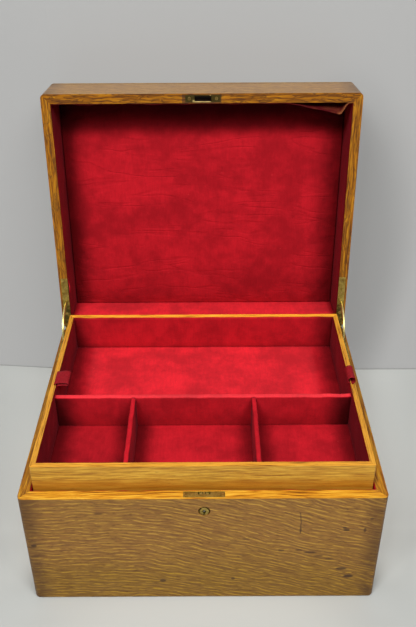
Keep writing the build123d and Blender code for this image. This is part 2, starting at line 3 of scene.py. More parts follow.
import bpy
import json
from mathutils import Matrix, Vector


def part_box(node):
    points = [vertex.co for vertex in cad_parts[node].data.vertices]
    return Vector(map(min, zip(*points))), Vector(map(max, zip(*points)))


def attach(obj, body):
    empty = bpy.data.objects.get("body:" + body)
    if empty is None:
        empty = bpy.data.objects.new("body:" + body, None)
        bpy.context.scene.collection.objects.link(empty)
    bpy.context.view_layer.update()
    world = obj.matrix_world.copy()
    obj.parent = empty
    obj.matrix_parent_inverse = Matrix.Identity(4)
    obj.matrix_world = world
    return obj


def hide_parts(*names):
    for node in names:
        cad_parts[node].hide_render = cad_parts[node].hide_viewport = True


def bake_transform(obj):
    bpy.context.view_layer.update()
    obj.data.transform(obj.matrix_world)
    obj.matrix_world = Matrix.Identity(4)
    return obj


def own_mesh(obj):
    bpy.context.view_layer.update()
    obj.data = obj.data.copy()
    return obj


bl_info = {
    "name": "Silverware Chest",
    "version": (1, 0, 0),
    "blender": (4, 5, 0),
    "location": "View3D > Sidebar > Chest",
    "description": "Oak, velvet linings, ribbon pulls and brass for a packed silverware chest",
    "category": "Object",
}

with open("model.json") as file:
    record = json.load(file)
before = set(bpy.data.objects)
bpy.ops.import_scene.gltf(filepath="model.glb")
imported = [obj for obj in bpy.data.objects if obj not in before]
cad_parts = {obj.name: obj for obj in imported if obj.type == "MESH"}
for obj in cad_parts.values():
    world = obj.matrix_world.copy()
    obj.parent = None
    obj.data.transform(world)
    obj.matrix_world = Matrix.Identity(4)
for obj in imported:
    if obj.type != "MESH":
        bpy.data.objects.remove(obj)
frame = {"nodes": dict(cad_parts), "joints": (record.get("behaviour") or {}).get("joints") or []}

import json
import math

import bpy
import numpy as np
from bpy.props import FloatProperty, FloatVectorProperty, IntProperty, PointerProperty
from mathutils import Matrix, Vector

NODES = frame["nodes"]
HINGE = next(joint for joint in frame["joints"] if joint["name"] == "lid_hinge")
PIVOT = np.array(HINGE["pos_m"], float)
OPEN_ANGLE = math.radians(-HINGE["range_deg"][0])
AXES = {"x": 0, "y": 1, "z": 2}
MM = 0.001


# Where things are

def turned(points, angle):
    """Points turned about the lid hinge's line, which runs along X:
    y' = c y - s z and z' = s y + c z, measured from the line."""
    points = np.asarray(points, float)
    c, s = math.cos(angle), math.sin(angle)
    y = points[..., 1] - PIVOT[1]
    z = points[..., 2] - PIVOT[2]
    return np.stack([points[..., 0], PIVOT[1] + c * y - s * z, PIVOT[2] + s * y + c * z], axis=-1)


def opened(points):
    """Points drawn with the lid shut, carried to where the open lid holds them."""
    return turned(points, -OPEN_ANGLE)


def mesh_points(mesh):
    """A mesh's corners as an array."""
    flat = np.zeros(len(mesh.vertices) * 3, np.float32)
    mesh.vertices.foreach_get("co", flat)
    return flat.reshape(-1, 3)


def node_points(node):
    """A node's corners as an array."""
    return mesh_points(NODES[node].data).astype(float)


def node_box(node, shut=False):
    """A node's lowest and highest corner, as it stands or with the lid shut."""
    points = node_points(node)
    if shut:
        points = turned(points, OPEN_ANGLE)
    return points.min(0), points.max(0)


BASE_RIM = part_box("front_board")[1].z
LID_RIM = node_box("lid_front_rail", shut=True)[0][2]
HALF_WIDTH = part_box("front_board")[1].x
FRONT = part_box("front_board")[0].y
TRAY_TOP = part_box("tray_front_wall")[1].z


# Shapes

def ripple(u, v, seed, low=0.8, high=3.5, waves=7):
    """Gentle unevenness from about -1 to 1: the mean of a few plane waves sin(2 pi (a u + b v) + c)
    with random a, b and c, times the root of their number."""
    dice = np.random.default_rng(seed)
    total = np.zeros(np.broadcast(u, v).shape)
    for _ in range(waves):
        a, b = dice.uniform(low, high, 2) * dice.choice((-1, 1), 2)
        total = total + np.sin(2 * math.pi * (a * u + b * v) + dice.uniform(0, 2 * math.pi))
    return total / math.sqrt(waves)


def rise(value, low, high):
    """0 below low, 1 above high, and 3 t^2 - 2 t^3 between them."""
    t = np.clip((value - low) / (high - low), 0, 1)
    return t * t * (3 - 2 * t)


def hill(value, middle, reach):
    """A smooth hill, 1 at the middle and 0 from reach on: (1 - (d / reach)^2)^2."""
    d = np.clip(np.abs(value - middle) / reach, 0, 1)
    return (1 - d * d) ** 2


def grid_mesh(name, points, flip=False, uv=None, nap=None, keep=None):
    """A surface from a grid of points (rows, columns, 3); each four neighbours make a face.
    A factor given for each point paints light and shade on the cloth's colour, and keep says which faces are
    made."""
    rows, columns = points.shape[:2]
    index = np.arange(rows * columns).reshape(rows, columns)
    quads = np.stack([index[:-1, :-1], index[:-1, 1:], index[1:, 1:], index[1:, :-1]], axis=-1)
    if keep is not None:
        quads = quads[keep]
    quads = quads.reshape(-1, 4)
    if flip:
        quads = quads[:, ::-1]
    used, quads = np.unique(quads, return_inverse=True)
    quads = quads.reshape(-1, 4)
    mesh = bpy.data.meshes.new(name)
    mesh.from_pydata(points.reshape(-1, 3)[used].tolist(), [], quads.tolist())
    if uv is not None:
        layer = mesh.uv_layers.new(name="Run")
        corners = np.zeros(len(mesh.loops), np.int32)
        mesh.loops.foreach_get("vertex_index", corners)
        layer.data.foreach_set("uv", uv.reshape(-1, 2)[used][corners].astype(np.float32).ravel())
    if nap is not None:
        layer = mesh.attributes.new("nap", "FLOAT", "POINT")
        values = np.broadcast_to(nap, (rows, columns)).reshape(-1)[used]
        layer.data.foreach_set("value", values.astype(np.float32))
    mesh.polygons.foreach_set("use_smooth", np.ones(len(mesh.polygons), bool))
    mesh.update()
    made = bpy.data.objects.new(name, mesh)
    bpy.context.scene.collection.objects.link(made)
    return made


def paint_light(u, v, long, tall, bright=1.0, low=None, high=None, start=None, end=None):
    """Painted light and shade for cloth: a brightness, painted darker towards an edge by an amount, from
    one distance from it to another. start and end are the edges along u, low and high those along v."""
    nap = bright * np.ones(np.broadcast(u, v).shape)
    for distance, side in ((u, start), (long - u, end), (v, low), (tall - v, high)):
        if side is not None:
            near, far, amount = side
            nap = nap * (1 - amount * (1 - rise(distance, near, far)))
    return nap


def thicken(piece, thickness, offset=-1.0):
    """Gives a sheet its thickness, behind its visible face."""
    solid = piece.modifiers.new("thickness", "SOLIDIFY")
    solid.thickness = thickness
    solid.offset = offset
    solid.use_even_offset = True
    return piece


def lines_between(length, step, cuts=()):
    """Evenly spaced places from 0 to a length, with a few more where a notch begins or ends."""
    even = np.linspace(0, length, max(4, int(round(length / step))) + 1)
    apart = [place for place in even if all(abs(place - cut) > 0.3 * step for cut in cuts)]
    return np.unique(np.concatenate([apart, [0.0, length], cuts]))


def lining(name, node, body, normal, top, seed, shut=False, lift=None, edge=None, step=4 * MM, box=None,
           waviness=0.12 * MM, notches=(), nap=None):
    """A glued sheet of velvet on one face of a node's box: start + across u + up (v + edge(u) (v / tall)^4)
    + out (thickness + lift(u, v)), with a little unevenness. v is greatest at the rim.
    A notch leaves out what lies between two places across and below a height."""
    low, high = box if box is not None else node_box(node, shut)
    n, t = AXES[normal[1]], AXES[top[1]]
    a = 3 - n - t
    size = high - low
    start, out, up, across = low.copy(), np.zeros(3), np.zeros(3), np.zeros(3)
    out[n] = 1 if normal[0] == "+" else -1
    up[t] = 1 if top[0] == "+" else -1
    across[a] = 1
    start[n] = high[n] if normal[0] == "+" else low[n]
    start[t] = low[t] if top[0] == "+" else high[t]
    long, tall, thickness = size[a], size[t], size[n]
    cuts_u = [place - low[a] for notch in notches for place in notch[:2]]
    cuts_v = [notch[2] - low[t] for notch in notches]
    u, v = np.meshgrid(lines_between(long, step, cuts_u), lines_between(tall, step, cuts_v))
    keep = np.ones((u.shape[0] - 1, u.shape[1] - 1), bool)
    middle_u, middle_v = (u[1:, 1:] + u[:-1, :-1]) / 2, (v[1:, 1:] + v[:-1, :-1]) / 2
    for first, last, height in notches:
        keep &= ~((middle_u > first - low[a]) & (middle_u < last - low[a]) & (middle_v < height - low[t]))
    trim = edge(u) if edge else 0.25 * MM * ripple(u * 12, 0 * u, seed + 1)
    raised = (lift(u, v) if lift else 0.0) + waviness * ripple(u * 9, v * 9, seed)
    points = (start + across * u[..., None] + up * (v + trim * (v / tall) ** 4)[..., None]
              + out * raised[..., None])
    if shut:
        points = opened(points)
    flip = float(np.dot(np.cross(across, up), out)) < 0
    piece = grid_mesh(name, points, flip, np.stack([u, v], axis=-1),
                      nap(u, v, long, tall) if nap else np.ones(u.shape), keep)
    thicken(piece, thickness * 0.85)
    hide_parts(node)
    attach(piece, body)
    return piece


def brushed(**sides):
    """A lining's painted light and shade, with its edges given."""
    return lambda u, v, long, tall: paint_light(u, v, long, tall, **sides)


# Looks

def math_node(operation, reverse=False):
    """A method of Wire that adds a Math node."""
    def method(self, *others):
        """One Math node on this wire and any other wire or number."""
        values = (*others, self) if reverse else (self, *others)
        return self.look.node("ShaderNodeMath", {"operation": operation}, dict(enumerate(values)))
    return method


class Wire:
    """An output in a look's node tree. Sums written with it add Math nodes. at_least is the larger of two
    values, root the square root, and size the value without its sign."""

    def __init__(self, look, socket):
        self.look = look
        self.socket = socket

    __add__, __radd__ = math_node("ADD"), math_node("ADD", reverse=True)
    __sub__, __rsub__ = math_node("SUBTRACT"), math_node("SUBTRACT", reverse=True)
    __mul__, __rmul__ = math_node("MULTIPLY"), math_node("MULTIPLY", reverse=True)
    at_least, root = math_node("MAXIMUM"), math_node("SQRT")
    sine, size = math_node("SINE"), math_node("ABSOLUTE")


class Look:
    """A material and its node tree."""

    def __init__(self, name):
        self.material = bpy.data.materials.new(name)
        self.material.use_nodes = True
        self.tree = self.material.node_tree
        self.tree.nodes.clear()
        self.shader = self.tree.nodes.new("ShaderNodeBsdfPrincipled")
        self.surface = self.tree.nodes.new("ShaderNodeOutputMaterial").inputs["Surface"]
        self.tree.links.new(self.shader.outputs[0], self.surface)

    def feed(self, socket, value):
        """Gives a socket a wire, a colour or a plain value."""
        if isinstance(value, Wire):
            self.tree.links.new(value.socket, socket)
        elif socket.type == "RGBA" and len(value) == 3:
            socket.default_value = (*value, 1.0)
        else:
            socket.default_value = value

    def node(self, kind, settings=None, values=None, out=0):
        """Adds a node: its settings first, then the values or wires of its sockets."""
        made = self.tree.nodes.new(kind)
        for name, value in (settings or {}).items():
            setattr(made, name, value)
        for name, value in (values or {}).items():
            self.feed(made.inputs[name], value)
        return Wire(self, made.outputs[out])

    def place(self, shut=False):
        """Object coordinates, or the same with the lid turned shut, so that grain runs with the lid."""
        here = self.node("ShaderNodeTexCoord", out="Object")
        if not shut:
            return here
        origin = turned(np.zeros(3), OPEN_ANGLE)
        return self.node("ShaderNodeMapping", {"vector_type": "POINT"},
                         {"Vector": here, "Location": tuple(origin), "Rotation": (OPEN_ANGLE, 0.0, 0.0)})

    def split(self, vector):
        """The three parts of a vector."""
        parts = self.node("ShaderNodeSeparateXYZ", values={0: vector}).socket.node
        return [Wire(self, part) for part in parts.outputs]

    def join(self, x, y, z):
        """A vector from three values."""
        return self.node("ShaderNodeCombineXYZ", values={0: x, 1: y, 2: z})

    def noise(self, vector, scale=1.0, detail=2.0, roughness=0.5, distortion=0.0):
        """Noise from 0 to 1."""
        return self.node("ShaderNodeTexNoise", {"noise_dimensions": "3D"},
                         {"Vector": vector, "Scale": scale, "Detail": detail, "Roughness": roughness,
                          "Distortion": distortion})

    def grain(self, x, y, z, **settings):
        """Noise over three values, each stretched as it comes."""
        return self.noise(self.join(x, y, z), **settings)

    def rise(self, value, low, high):
        """0 below low, 1 above high, smooth between."""
        return self.node("ShaderNodeMapRange", {"interpolation_type": "SMOOTHSTEP", "clamp": True},
                         {"Value": value, "From Min": low, "From Max": high, "To Min": 0.0, "To Max": 1.0})

    def vein(self, noise, width):
        """Thin wavy lines, where a noise passes through its middle."""
        return 1 - self.rise((noise - 0.5).size(), 0.0, width)

    def mix(self, factor, a, b, blend="MIX"):
        """Two colours mixed."""
        return self.node("ShaderNodeMix", {"data_type": "RGBA", "blend_type": blend, "clamp_factor": True},
                         {0: factor, 6: a, 7: b}, out=2)

    def over(self, colour, *layers):
        """A colour with others laid over it in turn, each with its factor."""
        for factor, other in layers:
            colour = self.mix(factor, colour, other)
        return colour

    def times(self, colour, factor):
        """A colour times a wire or a number."""
        grey = self.join(factor, factor, factor) if isinstance(factor, Wire) else (factor,) * 3
        return self.mix(1.0, colour, grey, "MULTIPLY")

    def ramp(self, value, *stops):
        """A colour that changes with a value. Each stop is a value and its colour, from 0 to 255."""
        made = self.node("ShaderNodeValToRGB", values={0: value})
        elements = made.socket.node.color_ramp.elements
        while len(elements) < len(stops):
            elements.new(0.5)
        for element, (position, colour) in zip(elements, stops):
            element.position = position
            element.color = (*lin(*colour), 1.0)
        return made

    def spot(self, x, z, centre, reach):
        """A soft round or oval mark on a face: 1 in its middle and 0 from its reach on."""
        across = (x - centre[0]) * (1 / reach[0])
        along = (z - centre[1]) * (1 / reach[1])
        return 1 - self.rise(across * across + along * along, 0.25, 1.0)

    def finish(self, colour, roughness, height, bump=0.2, depth=0.001, **others):
        """Feeds the shader its colour, its roughness and its bump, and other sockets by their names."""
        normal = self.node("ShaderNodeBump", values={"Strength": bump, "Distance": depth, "Height": height})
        others = {"Base_Color": colour, "Roughness": roughness, "Normal": normal, **others}
        for name, value in others.items():
            self.feed(self.shader.inputs[name.replace("_", " ")], value)
        return self.material


def lin(*colour):
    """A colour written as 0 to 255, turned to linear light."""
    return tuple(((c / 255 + 0.055) / 1.055) ** 2.4 if c > 10 else c / 255 / 12.92 for c in colour)


def scaled(colour, factor):
    """A colour made darker or brighter, up to white."""
    return tuple(min(1.0, c * factor) for c in colour)


def dress(material, *nodes):
    """Gives nodes their material."""
    for node in nodes:
        data = NODES[node].data
        data.materials.clear()
        data.materials.append(material)


def use(piece, material):
    """Gives a new piece its material."""
    piece.data.materials.append(material)
    return piece


WORN_COAT = 0.06


def case_oak(name, board, along, across, deep, seed=0.0, shut=False, marks=None, rim=None, rim_tone=1.0,
             rim_painted_shade=0.0, tilt=0.0, arch=0.0, middle=0.0, tone=1.0, coat=WORN_COAT):
    """Quartersawn oak under worn varnish: fibre lines, thin ray flecks, pores, patches of tone, dark corners.
    The grain follows lines of v + tilt u + arch sqrt((u - middle)^2 + 0.06^2), so it can bend over the board.
    A thicker coat than the worn one leaves the rim bare."""
    look = Look(name)
    parts = look.split(look.place(shut))
    u, v, w = parts[AXES[along]], parts[AXES[across]], parts[AXES[deep]]
    low, high = node_box(board, shut)
    drift = look.grain(u * 6.0 + seed, v * 9.0, w * 9.0, detail=1.0) - 0.5
    wander = look.grain(u * 34.0 - seed, v * 26.0, w * 26.0, detail=1.5) - 0.5
    flow = v + u * tilt + drift * 0.014 + wander * 0.006
    if arch:
        off = u - middle
        flow = flow + (off * off + 0.0036).root() * arch
    fibre = look.grain(u * 22.0 + seed, flow * 620.0, w * 620.0, detail=4.0, roughness=0.7)
    patches = look.grain(u * 8.0 + 4.0 * seed, v * 13.0, w * 13.0)
    strong = look.grain(u * 62.0 - seed, flow * 190.0, w * 170.0, detail=1.0)
    shift = look.grain(u * 19.0 + seed * 3, flow * 46.0, w * 46.0, detail=1.0)
    rays = ((flow + w) * 1080.0 + shift * 15.0).sine()
    fleck = look.rise(rays, 0.5, 0.95) * look.rise(strong, 0.42, 0.57)
    shade = look.rise(rays * -1, 0.4, 0.95) * look.rise(strong, 0.38, 0.60)
    thin = look.vein(look.grain(u * 26.0 - seed, flow * 330.0, w * 300.0, detail=1.0), 0.12)
    smudge = look.rise(look.grain(u * 50.0 - seed, flow * 230.0, w * 220.0, detail=3.0), 0.5, 0.72)
    pores = look.rise(look.grain(u * 160.0, flow * 900.0, w * 900.0, detail=1.0), 0.56, 0.72)
    yellow = look.rise(patches * 0.06 + (high[AXES[across]] - v) * 0.5, 0.062, 0.112)
    ground = look.mix(yellow, lin(158, 110, 50), lin(140, 101, 24))
    first, last = low[AXES[along]], high[AXES[along]]
    half = (last - first) / 2
    ends = look.rise((u - (first + last) / 2).size(), half - 0.030, half - 0.004)
    wood = look.over(look.mix(0.55, ground, lin(100, 62, 30)),
                     (look.rise(fibre, 0.32, 0.68), ground),
                     (fleck * 0.9, look.mix(yellow, lin(200, 152, 62), lin(188, 144, 36))),
                     (thin * 0.4, lin(184, 138, 52)),
                     (shade * 0.45, lin(106, 70, 36)),
                     (smudge * 0.26, lin(104, 66, 38)),
                     (pores * 0.42, lin(78, 46, 32)),
                     (ends * look.rise(smudge * 0.4 + patches, 0.25, 0.6) * 0.72, lin(86, 56, 28)))
    height = fibre * 0.5 - pores * 0.7 + fleck * 0.15
    varnish = coat
    if rim is not None:
        edge = rim(look, parts)
        if coat > WORN_COAT:
            varnish = (1 - edge) * coat
        wood = look.mix(edge, wood, rim_wood(look, u, v, w, seed, drift, wander, rim_tone, rim_painted_shade))
    # Marks: the front board's dents and specks, and the painted shade in the strike plate's recess.
    if marks is not None:
        stains_and_shade = marks(look, parts)
        wood = look.mix(stains_and_shade * 0.85, wood, lin(56, 34, 26))
        height = height - stains_and_shade * 1.2
    if tone != 1.0:
        wood = look.times(wood, tone)
    rough = 0.44 + look.grain(u * 30.0, v * 30.0, w * 30.0) * 0.16 + pores * 0.2
    return look.finish(wood, rough, height, bump=0.35, depth=0.0004, Specular_IOR_Level=0.25,
                       Coat_Roughness=0.3, Coat_Weight=varnish)


def rim_wood(look, u, v, w, seed, drift, wander, tone, shade):
    """A rim's oak: gold with dark streaks. Below a tone of 1 it turns to brown with dark veins, and shade then
    darkens it from its middle on towards the back, a painted shade."""
    streaks = look.grain(u * 24.0 + 9.0 + seed, (v + w) * 300.0 + drift * 9.0, (v - w) * 300.0, detail=3.0,
                         roughness=0.6, distortion=0.4)
    gold = look.ramp(streaks, (0.30, (250, 200, 70)), (0.46, (226, 160, 38)), (0.56, (198, 128, 22)),
                     (0.66, (132, 76, 12)))
    if tone == 1.0:
        return gold
    veins = look.vein(look.grain(u * 34.0 - seed, (v + w) * 210.0 + wander * 3.0, (v - w) * 210.0,
                                 distortion=0.7), 0.085)
    brown = look.ramp(streaks, (0.30, (194, 132, 12)), (0.46, (168, 104, 4)), (0.62, (112, 62, 0)))
    return look.over(brown, (veins * 0.8, lin(78, 40, 12)), (tone, gold),
                     (look.rise(u, -0.13, 0.02) * shade, lin(84, 52, 14)))


def base_rim(look, parts):
    """1 on the base's rim."""
    return look.rise(parts[2], BASE_RIM - 0.9 * MM, BASE_RIM - 0.3 * MM)


# The front board's dents and specks: centre and reach along x and z in metres, and how dark each is
FRONT_MARKS = (
    ((0.1165, 0.1260), (0.0012, 0.0044), 0.85), ((0.1715, 0.1262), (0.0040, 0.0016), 0.9),
    ((0.1690, 0.1296), (0.0026, 0.0015), 0.8), ((0.1936, 0.1258), (0.0018, 0.0030), 0.8),
    ((0.1711, 0.0562), (0.0070, 0.0018), 0.95), ((0.1812, 0.0419), (0.0065, 0.0022), 1.0),
    ((0.1161, 0.0908), (0.0045, 0.0012), 0.75), ((0.1305, 0.0862), (0.0080, 0.0014), 0.8),
    ((0.1407, 0.0797), (0.0060, 0.0012), 0.6), ((0.1547, 0.0741), (0.0060, 0.0012), 0.55),
    ((-0.0514, 0.0349), (0.0042, 0.0020), 0.9), ((0.0368, 0.0381), (0.0026, 0.0018), 0.8),
    ((0.0516, 0.1110), (0.0050, 0.0012), 0.5), ((0.0948, 0.0901), (0.0038, 0.0016), 0.7),
    ((-0.1234, 0.1554), (0.0050, 0.0013), 0.6), ((-0.2057, 0.1003), (0.0036, 0.0018), 0.9),
    ((0.2000, 0.1450), (0.0022, 0.0016), 0.6))


def front_marks(look, parts):
    """The front board's crack, dents and dark specks."""
    x, z = parts[0], parts[2]
    wander = (look.grain(0.0, 0.0, z * 60.0) - 0.5) * 0.006
    off_crack = (x - 0.1148 - wander - (0.1555 - z) * 0.06).size()
    within = 1 - look.rise((z - 0.1415).size(), 0.013, 0.016)
    total = (1 - look.rise(off_crack, 0.0003, 0.0014)) * within * 0.65
    for centre, (wide, tall), strength in FRONT_MARKS:
        total = total.at_least(look.spot(x, z, centre, (wide * 1.2, tall * 1.6)) * strength)
    return total


def lid_rim(look, parts):
    """1 on the lid's rim, in the shut lid's own coordinates."""
    return 1 - look.rise(parts[2], LID_RIM + 0.3 * MM, LID_RIM + 0.9 * MM)


def strike_painted_shade(look, parts):
    """Painted shade in the front rail's recess behind the strike plate's opening, and in the line round the
    plate.
    """
    x, y, z = parts
    low, high = node_box("strike_plate", shut=True)
    deep = look.rise(z, low[2] + 0.6 * MM, low[2] + 1.2 * MM) * look.rise(y, FRONT + 1.5 * MM, FRONT + 2 * MM)
    middle = (low[1] + high[1]) / 2
    off_x, off_y = x.size() - high[0], (y - middle).size() - (high[1] - middle)
    around = 1 - look.rise(off_x.at_least(off_y), 0.9 * MM, 1.5 * MM)
    return around * (deep * 0.4 + 0.75)


def tray_oak(name, along, across, deep, seed=0.0, edge=1.0):
    """Plain golden oak: straight fibre lines, a darker foot, and top edges as bright as edge says, which
    paints them lighter or darker: painted light and shade.
    """
    look = Look(name)
    parts = look.split(look.place())
    u, v, w = parts[AXES[along]], parts[AXES[across]], parts[AXES[deep]]
    drift = look.grain(u * 4.0 + seed, v * 5.0, w * 5.0, detail=1.0) - 0.5
    flow = v + drift * 0.02
    fibre = look.grain(u * 26.0 + seed, flow * 430.0, w * 430.0, detail=4.0, roughness=0.65)
    bands = look.grain(u * 9.0 - seed, flow * 90.0, w * 90.0)
    pores = look.rise(look.grain(u * 80.0, flow * 1300.0, w * 1300.0, detail=1.0), 0.62, 0.76)
    foot = 1 - look.rise(parts[2] + (bands - 0.5) * 0.006, BASE_RIM + 7 * MM, BASE_RIM + 17 * MM)
    top = look.rise(parts[2], TRAY_TOP - 0.8 * MM, TRAY_TOP - 0.3 * MM)
    streaks = look.grain(u * 30.0, (v + w) * 520.0, (v - w) * 520.0, detail=3.0, roughness=0.6)
    gold = look.ramp(streaks, *((value, [c * edge for c in colour]) for value, colour in (
        (0.34, (246, 178, 58)), (0.52, (226, 156, 42)), (0.66, (150, 92, 18)))))
    wood = look.over(look.ramp(fibre, (0.32, (156, 102, 24)), (0.49, (203, 148, 44)), (0.64, (228, 178, 64))),
                     (look.rise(bands, 0.52, 0.72) * 0.3, lin(176, 112, 28)),
                     (foot * 0.62, lin(172, 104, 16)), (top, gold), (pores * 0.4, lin(120, 70, 22)))
    rough = 0.38 + look.grain(u * 25.0, v * 25.0, w * 25.0) * 0.16 + pores * 0.15
    return look.finish(wood, rough, fibre * 0.5 - pores * 0.6, bump=0.3, depth=0.0003, Specular_IOR_Level=0.4)


def plain_oak():
    """Unvarnished oak for pieces inside the base."""
    look = Look("oak_inside")
    x, y, z = look.split(look.place())
    fibre = look.grain(x * 300.0, y * 12.0, z * 300.0, detail=4.0)
    wood = look.ramp(fibre, (0.3, (150, 108, 62)), (0.7, (190, 148, 96)))
    return look.finish(wood, 0.62 + fibre * 0.1, fibre, bump=0.3, depth=0.0003)


def velvet(name, shut=False, folds=0.0):
    """Short red pile: brushed patches, a fine pile and weave, lint, a little sheen where it is seen aslant,
    and each piece's painted light and shade.
    """
    colours = bpy.context.scene.chest_colours
    look = Look(name)
    where = look.place(shut)
    swept = look.noise(where, scale=13.0, detail=2.5, roughness=0.55, distortion=0.4)
    crushed = look.noise(where, scale=60.0, detail=3.0, roughness=0.65)
    pile = look.noise(where, scale=900.0, roughness=0.7)
    x, y, z = look.split(where)
    weave = look.grain(x * 420.0, y * 60.0, z * 60.0, detail=1.0)
    lint = look.rise(look.noise(where, scale=300.0, detail=0.0), 0.86, 0.92)
    deep = scaled(colours.velvet_dark, 0.5)
    cloth = look.over(tuple(colours.velvet_dark),
                      (look.rise(swept * 0.62 + crushed * 0.38, 0.36, 0.64), tuple(colours.velvet_light)),
                      (look.rise(pile * 0.6 + weave * 0.4, 0.35, 0.7) * 0.24, deep),
                      (lint * 0.3, lin(226, 80, 82)))
    height = pile * 0.6 + crushed * 0.8 + swept
    # Folds: a bump, and painted shade darkening their creases.
    if folds:
        bend = look.grain(x * 7.0, y * 34.0, z * 34.0, distortion=0.6)
        fold = look.vein(bend, 0.05) * look.rise(swept, 0.4, 0.55)
        cloth = look.mix(fold * folds, cloth, deep)
        height = height - fold * 1.5
    # Painted light and shade scale the cloth's colour; the brightest places turn a paler red, a painted
    # highlight.
    nap = look.node("ShaderNodeAttribute", {"attribute_name": "nap"}, out="Fac")
    pale = look.rise(nap, 1.22, 1.6) * 0.035 + look.rise(nap, 1.78, 1.95) * 0.10
    cloth = look.mix(pale, look.times(cloth, nap), lin(235, 120, 120))
    return look.finish(cloth, 0.88 + pile * 0.1, height, bump=0.5, depth=0.0007, Specular_IOR_Level=0.08,
                       Sheen_Weight=0.22, Sheen_Roughness=0.4, Sheen_Tint=(0.62, 0.05, 0.075, 1.0))


def glued_back():
    """The back of old velvet: dull red weave with brown glue stains."""
    look = Look("velvet_back")
    where = look.place(True)
    weave = look.noise(where, scale=1200.0)
    glue = look.rise(look.noise(where, scale=60.0, detail=3.0, distortion=0.8), 0.46, 0.62)
    x, y, z = look.split(where)
    tip = look.rise(x, 0.180, 0.188) * (1 - look.rise(z, LID_RIM + 3 * MM, LID_RIM + 9 * MM))
    cloth = look.over(lin(70, 12, 17), (weave, lin(92, 18, 22)),
                      ((glue * 0.12).at_least(tip * 0.62), lin(160, 96, 56)))
    return look.finish(cloth, 0.85, weave * 0.5 + glue * 0.5, bump=0.4, depth=0.0004, Specular_IOR_Level=0.05)


def ribbon_look():
    """Ribbed ribbon: fine ribs across its width."""
    look = Look("ribbon_red")
    run = look.split(look.node("ShaderNodeUVMap", {"uv_map": "Run"}))[1]
    ribs = (run * 4200.0).sine() * 0.5 + 0.5
    fuzz = look.noise(look.place(), scale=700.0)
    cloth = look.over(lin(134, 16, 26), (look.rise(fuzz, 0.3, 0.7), lin(164, 26, 36)),
                      (ribs * 0.25, lin(96, 10, 18)))
    return look.finish(cloth, 0.72 + fuzz * 0.15, ribs * 0.6 + fuzz * 0.4, bump=0.4, depth=0.0002,
                       Specular_IOR_Level=0.2)


def brass(name, dull, bright, roughness, tarnish=0.5, wear=1.0, grime=False, strike=False):
    """Old brass: browned patches, fine scratches and a soft shine. grime darkens it near the hinge's line.
    strike paints the strike plate dark and the lip of its opening pale."""
    look = Look(name)
    where = look.place()
    patches = look.noise(where, scale=160.0, detail=4.0, roughness=0.65)
    specks = look.rise(look.noise(where, scale=900.0), 0.55, 0.75)
    x, y, z = look.split(where)
    scratches = look.grain(x * 90.0, y * 1400.0, z * 1400.0)
    metal = look.over(dull, (look.rise(patches, 0.3, 0.7), bright), (specks * tarnish, scaled(dull, 0.3)))
    if strike:
        x_shut, y_shut, _ = look.split(look.place(True))
        back = node_box("strike_plate", shut=True)[1][1]
        inside = 1 - look.rise(x_shut.size(), 0.0118, 0.0126)
        lip = inside * look.rise(y_shut, back - 3.2 * MM, back - 2.6 * MM).at_least(
            look.rise(x_shut, 0.0104, 0.0110))
        metal = look.over(metal, (look.rise(patches, 0.3, 0.6) * 0.25 + 0.6, lin(42, 32, 12)),
                          (lip * 0.85, lin(232, 208, 132)))
    if grime:
        off_y, off_z = y - PIVOT[1], z - PIVOT[2]
        near = 1 - look.rise((off_y * off_y + off_z * off_z).root(), 0.036, 0.044)
        metal = look.mix(near * look.rise(patches, 0.36, 0.56) * 0.8, metal, lin(42, 32, 14))
    rough = roughness + (patches - 0.5) * (0.3 * wear) + specks * (0.15 * wear)
    return look.finish(metal, rough, scratches * 0.4 + patches * 0.6 - specks * 0.3, bump=0.2 * wear,
                       depth=0.0002, Metallic=0.92)


def steel_look():
    """Plain steel with a brushed grain."""
    look = Look("steel_plain")
    x, y, z = look.split(look.place())
    grain = look.grain(x * 900.0, y * 900.0, z * 60.0)
    metal = look.mix(grain, lin(120, 118, 112), lin(168, 166, 160))
    return look.finish(metal, 0.34 + grain * 0.15, grain, bump=0.15, depth=0.0001, Metallic=1.0)


PAPER = {"roughness": 0.9, "bump": 0.02, "depth": 0.001, "Specular_IOR_Level": 0.1}


def paper(name, colour):
    """A look begun as matt, faintly mottled paper: with its mottle, its colour and its three places."""
    look = Look(name)
    where = look.place()
    mottle = look.noise(where, scale=3.0, detail=3.0)
    shade = look.mix(mottle, scaled(colour, 0.985), scaled(colour, 1.015))
    return look, mottle, shade, look.split(where)


def floor_look(colour):
    """The floor's paper: painted shade before the chest's corners, painted light close to its sides and its
    front that takes away the chest's shadow there, and a painted shade line in the seam along the wall."""
    look, mottle, shade, (x, y, _) = paper("paper_floor", colour)
    # Painted shade before the chest's corners and painted light before its front.
    for centre, reach, factor in (((0.34, -0.22), (0.24, 0.24), 0.93), ((-0.34, -0.22), (0.24, 0.24), 0.97),
                                  ((0.0, -0.30), (0.26, 0.17), 1.09)):
        shade = look.mix(look.spot(x, y, centre, reach), shade, scaled(colour, factor))
    # Painted light beside and before the chest, which takes its shadow away there.
    narrowing = 8.85 - y * 11.5 + (y * -1 - 0.06).at_least(0.0) * 84.0
    beside = 1 - look.rise((x.size() - HALF_WIDTH) * narrowing, 0.0, 1.0)
    beside = beside * look.rise(y, -0.165, -0.105) * (1 - look.rise(y, 0.28, 0.40))
    before = look.rise(y * -1, 0.15, 0.18) * (1 - look.rise(y * -1, 0.185, 0.23))
    before = before * (1 - look.rise(x.size(), 0.21, 0.27))
    # A painted shade line in the seam along the wall.
    slant = (x * -1 - 0.215).at_least(0.0) * 0.094 - look.rise(x, 0.0, 0.2) * 0.003
    seam = look.rise(y - slant, 0.3085, 0.3115) * (1 - look.rise(y - slant, 0.3125, 0.3145))
    pale = scaled(colour, 1.62)
    shade = look.over(shade, (beside, pale), (before * 0.12, pale), (seam * 0.6, lin(110, 110, 109)))
    return look.finish(shade, height=mottle, **PAPER)


